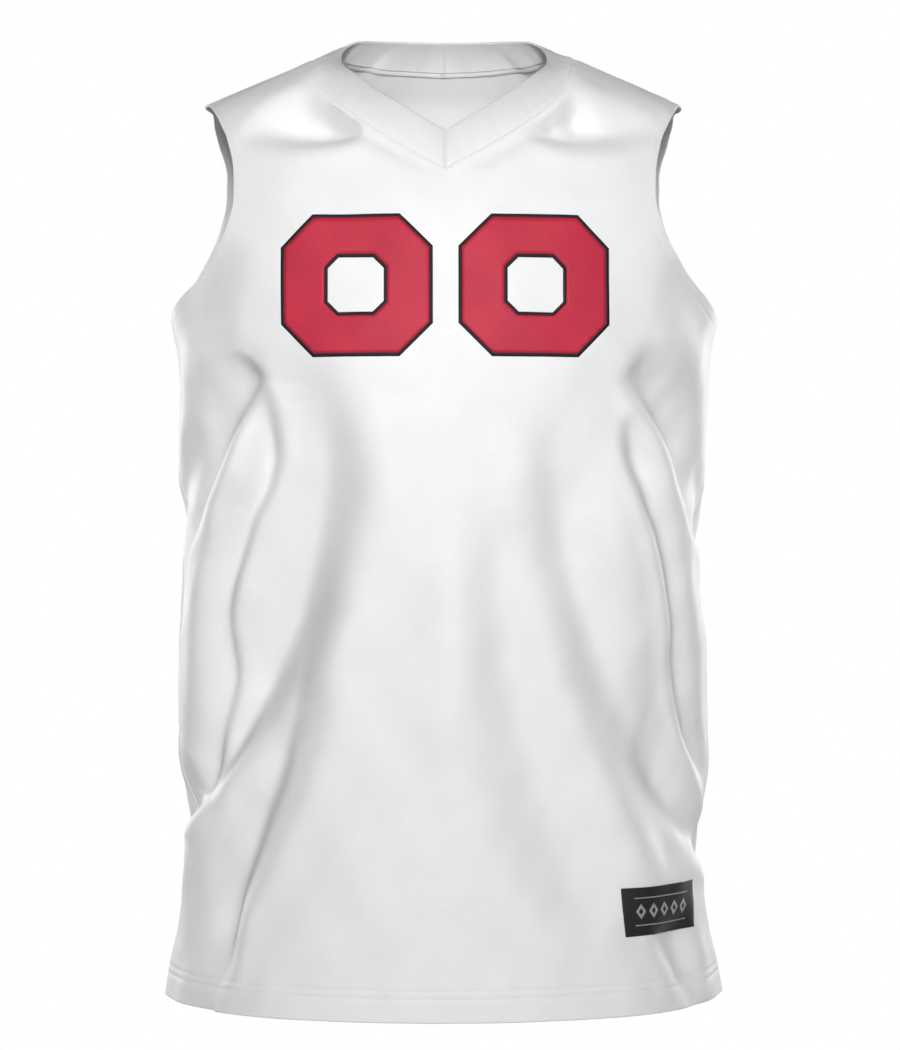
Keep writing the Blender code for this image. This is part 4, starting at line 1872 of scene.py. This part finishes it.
@dataclass
class HemTag:
    """The woven label above the hem, with a plain row of lozenges between two lines."""

    cloth: Cloth
    # Its two ends, as shares of the way from the centre front to the side
    shares: Pair = (0.515, 0.802)
    heights: Pair = (-700.5, -663.5)
    lift: float = 0.35  # how far its back lies off the cloth
    wall: float = 0.75
    columns: int = 44
    rows: int = 22
    lozenges: int = 5
    lozenge_step: float = 0.15  # from one figure to the next, as a share of the label
    lozenge_size: Pair = (4.6, 6.0)  # a figure's half width and half height
    lozenge_hole: Pair = (2.0, 2.6)
    line_share: float = 0.74  # a line's length, as a share of the label
    line_away: float = 10.5  # how far the two lines lie from the middle
    line_width: float = 0.9
    line_cut: float = 0.3
    edge_dip: float = 0.05
    turned_dip: float = 0.22  # how much thinner the row of points beside the edge is
    thread_lift: float = 0.16  # how far the pattern's face stands off the label
    thread_wall: float = 0.14
    thread_grain: float = 2.0

    def lengths(self, share: Array, height: Array) -> Array:
        """Lengths from the centre line that lie at shares of the way to the side."""
        side = self.cloth.form.unrolled(np.full(np.shape(height), SIDE_TURN), height, 0.0)
        return share * side

    def figures(self) -> list[Outline]:
        """Lay out the lozenges and the two lines of the label's pattern.

        Returns:
            Their outlines.
        """
        low, high = self.heights
        middle_height = (low + high) / 2.0
        ends = self.lengths(np.array(self.shares), np.array([middle_height] * 2))
        middle, width = ends.mean(), ends[1] - ends[0]
        figures = []
        for i in range(self.lozenges):
            at = middle + (i - (self.lozenges - 1) / 2.0) * width * self.lozenge_step
            sizes = self.lozenge_size, self.lozenge_hole
            figures.append(Outline(*(lozenge((at, middle_height), *size) for size in sizes)))
        for way in (-1.0, 1.0):
            place = (middle, middle_height + way * self.line_away)
            line = chamfered(place, width * self.line_share, self.line_width, self.line_cut)
            figures.append(Outline(line))
        return figures

    def build(self, label: Material, threads: Material) -> tuple[Piece, Piece]:
        """Build the label and the pattern on it.

        Args:
            label: The label's weave.
            threads: The pattern's paler threads.

        Returns:
            The label and its pattern.
        """
        across = np.linspace(self.shares[0], self.shares[1], self.columns + 1)
        height = np.linspace(*self.heights, self.rows + 1)[:, None] + 0.0 * across
        length = self.lengths(across + 0.0 * height, height)
        turn = self.cloth.form.rolled(length, height, Side.FRONT)
        normal = normals_of(self.cloth.point, turn, height)
        counts = np.arange(self.columns + 1), np.arange(self.rows + 1)
        from_end, from_edge = (np.minimum(count, count[::-1]) for count in counts)
        border = np.minimum(from_end[None, :], from_edge[:, None])
        raised = np.select([border == 0, border == 1], [-self.edge_dip, -self.turned_dip], 0.0)
        outer = self.cloth.point(turn, height) + normal * (self.lift + self.wall + raised)[..., None]
        flat = np.stack([length, height - HEM_HEIGHT], axis=-1)
        wall = self.wall + raised
        tag = walled("tag_cloth", outer, normal, wall, flat, label)
        lift = self.lift + self.wall + self.thread_lift
        pattern = Film(
            "tag_pattern", self.cloth, self.figures(), lift, self.thread_wall, self.thread_grain
        )
        threads_laid = pattern.build(threads, "tag_cloth")
        return sharing(tag, "tag_cloth", "hem_tag"), threads_laid


def from_lowest(corners: list[int]) -> list[int]:
    """The same face, started at its lowest corner."""
    start = corners.index(min(corners))
    return corners[start:] + corners[:start]


@dataclass
class Stitching:
    """Short stitches, modelled once and copied along the seams."""

    cloth: Cloth
    length: float = 2.2
    pitch: float = 3.2
    thread: float = 0.5
    lift: float = 0.12  # how far a stitch's middle lies off the cloth
    corners: int = 6
    straight: float = 0.9  # the straight middle's length, in halves of a stitch
    bent: float = 0.55  # how long each bent end is, in halves of a stitch
    drop: float = 0.5  # how far each end drops into the cloth, in threads
    taper: float = 0.5
    glance: float = 0.02  # how far ahead a stitch looks for its way, in pitches

    def stitch(self) -> tuple[Array, list[list[int]]]:
        """Model one stitch along +X, its middle proud and its ends in the cloth.

        Returns:
            Its points in millimetres and its faces.
        """
        half = self.length / 2.0 * MM
        bpy.ops.object.select_all(action="DESELECT")
        bpy.ops.mesh.primitive_cylinder_add(
            vertices=self.corners, radius=self.thread / 2.0 * MM, depth=self.straight * half,
            end_fill_type="NGON", rotation=(0.0, pi / 2.0, 0.0),
        )
        thing = bpy.context.object
        bpy.ops.object.transform_apply(location=False, rotation=True, scale=False)
        for way in (-1.0, 1.0):
            bpy.ops.object.mode_set(mode="EDIT")
            bpy.ops.mesh.select_mode(type="FACE")
            bpy.ops.mesh.select_all(action="DESELECT")
            bpy.ops.object.mode_set(mode="OBJECT")
            for face in thing.data.polygons:
                face.select = way * face.normal.x > 0.9  # an end, not a side
            bpy.ops.object.mode_set(mode="EDIT")
            moved = (way * self.bent * half, 0.0, -self.drop * self.thread * MM)
            bpy.ops.mesh.extrude_region_move(TRANSFORM_OT_translate={"value": moved})
            bpy.ops.transform.resize(value=(self.taper,) * 3)
            bpy.ops.object.mode_set(mode="OBJECT")
        points = np.array([vertex.co[:] for vertex in thing.data.vertices]) / MM
        faces = sorted(from_lowest(list(face.vertices)) for face in thing.data.polygons)
        bpy.data.objects.remove(thing, do_unlink=True)
        return points, faces

    def sew(self, name: str, lines: Lines, finish: Material, slot: str) -> Piece:
        """Copy the stitch along lines on the cloth.

        Args:
            name: The piece's name.
            lines: Turns and heights along each line.
            finish: The thread's material.
            slot: The record's material slot.

        Returns:
            The piece with all the stitches.
        """
        shape, shape_faces = self.stitch()
        points, faces, start = [], [], 0
        for turn, height in lines:
            line = self.cloth.form.point(turn, height)
            count = int(np.linalg.norm(np.diff(line, axis=0), axis=-1).sum() // self.pitch)
            rows = evenly(line, (np.arange(count) + 0.5) / count)
            both = np.stack([turn, height], axis=-1)
            places = picked(both, rows).T
            ahead = picked(both, rows + self.glance * len(turn) / count).T
            centre = self.cloth.point(*places)
            normal = normals_of(self.cloth.point, *places)
            along = unit(self.cloth.point(*ahead) - centre)
            along[-1] = along[-2]
            aside = unit(np.cross(normal, along))
            upright = np.cross(along, aside)
            axes = np.stack([along, aside, upright], axis=1)
            middle = centre + normal * self.lift
            laid = np.einsum("pk,skj->spj", shape, axes) + middle[:, None]
            points.append(laid.reshape(-1, 3))
            for _ in range(count):
                faces += [[corner + start for corner in face] for face in shape_faces]
                start += len(shape)
        return sharing(new_object(name, np.concatenate(points), faces, finish), slot)


class Allowance(NamedTuple):
    """A seam allowance: its width, its thickness and how far behind the face it lies."""

    width: float
    thickness: float
    depth: float


@dataclass
class InsideSeams:
    """The overlocked seam allowances that lie flat against the inside."""

    cloth: Cloth
    pressed: Allowance = Allowance(6.0, 1.1, 1.5)  # the allowances of the sides and the shoulders
    bound: Allowance = Allowance(6.5, 1.7, 1.15)  # the fuller allowance below the band
    # How far the sides' stop short of the hem and of the armhole
    side_ends: Pair = (4.0, 6.0)
    side_sections: int = 90
    # Where the shoulders' start and end, as shares of the seam
    shoulder_ends: Pair = (0.06, 0.96)
    shoulder_sections: int = 30
    neck_stride: int = 3  # from one cross-section to the next along the neck seam's points
    neck_below: float = 1.2  # how far below the neck seam its allowance lies
    corners: int = 8

    def tube(self, turn: Array, height: Array, cut: Allowance) -> Array:
        """Lay one allowance along a seam.

        Args:
            turn: The turns along the seam.
            height: The heights along it.
            cut: Its width, thickness and depth.

        Returns:
            Its cross-sections.
        """
        centre = self.cloth.form.point(turn, height)
        normal = normals_of(self.cloth.form.point, turn, height)
        middle = centre - normal * (self.cloth.sunk(turn, height) + cut.depth)[:, None]
        across = unit(np.cross(normal, unit(np.gradient(centre, axis=0))))
        half_width, half_wall = cut.width / 2.0, cut.thickness / 2.0
        angles = -2.0 * pi * np.arange(self.corners) / self.corners
        return np.stack([
            middle + across * (half_width * np.cos(a)) + normal * (half_wall * np.sin(a))
            for a in angles
        ], axis=1)[:, ::-1]

    def build(self, finish: Material) -> Piece:
        """Build the allowances of the neck, the shoulders and the sides.

        Args:
            finish: The knit.

        Returns:
            The piece with all of them.
        """
        shares = np.linspace(*self.shoulder_ends, self.shoulder_sections)
        seams = [(side_line(self.side_sections, *self.side_ends), self.pressed)]
        seams.append((shoulder_line(shares), self.pressed))
        for panel in Side:
            turn, height = (part[::self.neck_stride] for part in neck_line(panel))
            seams.append(((turn, height - self.neck_below), self.bound))
        tubes = [
            self.tube(way * turn, height, cut) for way in (1.0, -1.0) for (turn, height), cut in seams
        ]
        wrong = np.zeros(self.corners)
        return sharing(tubed("inside_seams", tubes, False, finish, wrong), "panel_cloth")


def sewing_lines(form: WornForm) -> dict[str, Lines]:
    """Lay out every line of stitches.

    Args:
        form: The form that they run on.

    Returns:
        Turns and heights of each line, by the name of what it holds.
    """
    lines: dict[str, Lines] = {"hem": [], "armhole": [], "neck": []}
    for side in Side:
        for above in HEM_ROWS:
            turn = side.middle + np.linspace(-SIDE_TURN, SIDE_TURN, ROW_POINTS)
            lines["hem"].append((turn, np.full(ROW_POINTS, HEM_HEIGHT + above)))
        for key, line, inset in (
            ("armhole", armhole_line(side), ARMHOLE_ROW),
            ("neck", neck_line(side), NECK_ROW),
        ):
            turn, height = beside(form, side, *line, inset)
            for way in (1.0, -1.0):
                other = turn if way > 0.0 else 2.0 * side.middle - turn
                lines[key].append((other, height))
    return lines


def beside(
    form: WornForm, side: Side, turn: Array, height: Array, inset: float
) -> Line:
    """Shift a line on a panel toward the panel's own cloth, as far as its side seams.

    Args:
        form: The form that it runs on.
        side: The panel.
        turn: The line's turns, on the wearer's left half.
        height: The line's heights.
        inset: How far it shifts.

    Returns:
        The shifted turns and heights.
    """
    line = form.point(turn, height)
    along = unit(np.gradient(line, axis=0))
    across = unit(np.cross(normals_of(form.point, turn, height), along))
    middle = form.point(np.array([side.middle]), np.array([height.mean() - WELL_BELOW]))
    toward = np.sign(((middle - line) * across).sum(axis=-1).sum())
    goal = line + toward * inset * across
    for _ in range(INSET_ROUNDS):
        missed = goal - form.point(turn, height)
        around = form.point(turn + 0.5, height) - form.point(turn - 0.5, height)
        upward = form.point(turn, height + 0.5) - form.point(turn, height - 0.5)
        aa, au, uu = ((p * q).sum(-1) for p, q in ((around, around), (around, upward), (upward, upward)))
        ma, mu = (missed * around).sum(-1), (missed * upward).sum(-1)
        whole = aa * uu - au * au
        turn = turn + (ma * uu - mu * au) / whole
        height = height + (mu * aa - ma * au) / whole
    _, (top, tip) = shoulder_line(np.array([0.0, 1.0]))
    seam, _ = shoulder_line(np.clip((top - height) / (top - tip), 0.0, 1.0))
    seam = np.where(height < tip - SHOULDER_REACH, SIDE_TURN, seam)
    kept = (turn < seam) if side is Side.FRONT else (turn > seam)
    kept &= (turn >= 0.0) & (turn <= BACK_TURN)
    return turn[kept], height[kept]


class Lamp(NamedTuple):
    """A soft square light: its place, what it is aimed at, its width, power and spread."""

    name: str
    place: tuple[float, float, float]
    aim: tuple[float, float, float]
    width: float
    power: float
    spread: float


@dataclass
class Studio:
    """The camera, the soft lights and the plain floor."""

    distance: float = 2.0  # from the lens to the garment's middle, in metres
    camera_height: float = -0.380
    camera_aside: float = 0.0049
    swing: float = 0.7  # how far the camera is turned round the garment, in degrees
    lens: float = 83.6  # its focal length for a frame 36 mm high
    floor_height: float = -1.5
    floor_radius: float = 1.4
    surround: float = 0.03
    floor_corners: int = 96
    lamps: tuple[Lamp, ...] = (
        Lamp("front_light", (0.0, -4.4, 1.05), (0.0, -0.1, -0.12), 1.1, 12.6, 46.0),
        Lamp("chest_light", (0.0, -4.4, 0.7), (0.0, -0.1, -0.15), 0.25, 0.07, 10.0),
        Lamp("low_light", (0.0, -4.4, -1.2), (0.0, -0.1, -0.82), 1.0, 0.95, 28.0),
        Lamp("right_light", (-2.0, 1.7, -0.2), (0.0, 0.0, -0.38), 1.2, 46.0, 180.0),
        Lamp("left_light", (2.0, 1.7, -0.2), (0.0, 0.0, -0.38), 1.2, 46.0, 180.0),
    )

    def build(self, floor_finish: Material) -> None:
        """Set up the camera, the lights, the surround and the floor.

        Args:
            floor_finish: The floor's material.
        """
        scene = bpy.context.scene
        scene.view_settings.view_transform = "Standard"
        camera = bpy.data.objects.new("camera", bpy.data.cameras.new("camera"))
        camera.data.lens = self.lens
        turned = radians(self.swing)
        ahead = np.array([sin(turned), cos(turned), 0.0])
        beside_lens = np.array([cos(turned), -sin(turned), 0.0])
        place = beside_lens * self.camera_aside - ahead * self.distance
        camera.location = (place[0], place[1], self.camera_height)
        camera.rotation_euler = (pi / 2.0, 0.0, -turned)
        scene.collection.objects.link(camera)
        scene.camera = camera
        for lamp in self.lamps:
            light = bpy.data.lights.new(lamp.name, "AREA")
            light.size, light.energy = lamp.width, lamp.power
            light.spread = radians(lamp.spread)
            holder = bpy.data.objects.new(lamp.name, light)
            holder.location = lamp.place
            toward = np.array(lamp.aim) - np.array(lamp.place)
            across = np.hypot(toward[0], toward[1])
            holder.rotation_euler = (
                np.arctan2(across, -toward[2]), 0.0, np.arctan2(-toward[0], toward[1])
            )
            scene.collection.objects.link(holder)
        self.light_surround(scene)
        bpy.ops.object.select_all(action="DESELECT")
        bpy.ops.mesh.primitive_circle_add(
            vertices=self.floor_corners, radius=self.floor_radius, fill_type="NGON",
            location=(0.0, 0.0, self.floor_height),
        )
        floor = bpy.context.object
        floor.name = "floor"
        floor.data.materials.append(floor_finish)
        floor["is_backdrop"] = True

    def light_surround(self, scene: bpy.types.Scene) -> None:
        """Light the surround, and show it white behind the garment.

        Args:
            scene: The scene that it surrounds.
        """
        world = bpy.data.worlds.new("surround")
        world.use_nodes = True
        scene.world = world
        wiring = Wiring(world.node_tree)
        nodes = world.node_tree.nodes
        background = nodes["Background"]
        seen = nodes.new("ShaderNodeLightPath").outputs["Is Camera Ray"]
        strength = wiring.math("MULTIPLY_ADD", seen, 1.0 - self.surround, self.surround)
        background.inputs["Color"].default_value = (1.0, 1.0, 1.0, 1.0)
        wiring.put(background.inputs["Strength"], strength)


def plain(name: str, colour: Colour, roughness: float) -> Material:
    """Make a plain matt material.

    Args:
        name: The material's name.
        colour: Its colour.
        roughness: How rough it is.

    Returns:
        The material.
    """
    wiring, shader = shaded(name, roughness, 0.0)
    shader.inputs["Base Color"].default_value = colour
    return bpy.data.materials[name]


def main() -> None:
    """Build the jersey's pieces in the order in which it is sewn, then the studio."""
    logging.basicConfig(level=logging.INFO, format="%(message)s")
    knit, weave = knit_group(), weave_group()
    white = KnitFinish("white_knit", (0.86, 0.86, 0.865, 1.0), (0.80, 0.80, 0.805, 1.0))
    band_white = KnitFinish("band_knit", (0.85, 0.85, 0.855, 1.0), (0.79, 0.79, 0.795, 1.0))
    # The second colour of each weave is the painted shade in its hollows
    thread = WovenFinish("white_thread", (0.88, 0.88, 0.88, 1.0), (0.72, 0.72, 0.72, 1.0))
    black = WovenFinish("black_label", (0.016, 0.016, 0.018, 1.0), (0.005, 0.005, 0.006, 1.0))
    grey = WovenFinish("grey_threads", (0.42, 0.42, 0.43, 1.0), (0.20, 0.20, 0.21, 1.0))
    red_film = PrintFinish("red_film", (0.50, 0.024, 0.055, 1.0))
    black_film = PrintFinish("black_film", (0.012, 0.012, 0.014, 1.0))
    white_knit = white.material(knit)

    form = WornForm()
    lines = sewing_lines(form)
    cloth = Cloth(form, seams=lines)
    front = Panel(Side.FRONT, cloth).build(white_knit)
    back = Panel(Side.BACK, cloth, neck_share=0.591).build(white_knit)
    band = NeckBand(cloth).build(band_white.material(knit))
    ChestNumber(cloth).build(black_film.material(knit), red_film.material(knit))
    label = HemTag(cloth)
    tag, pattern = label.build(black.material(weave), grey.material(weave))
    InsideSeams(cloth).build(white_knit)
    sewing = Stitching(cloth)
    white_thread = thread.material(weave)
    for name, sewn in lines.items():
        sewing.sew(name + "_stitches", sewn, white_thread, "panel_cloth")
    Studio().build(plain("pale_floor", (0.78, 0.78, 0.78, 1.0), 0.7))


if __name__ == "__main__":
    main()
    boxes = {"cad": CAD_BOX, "visual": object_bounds()}
    {key: np.array(box).tolist() for key, box in boxes.items()}
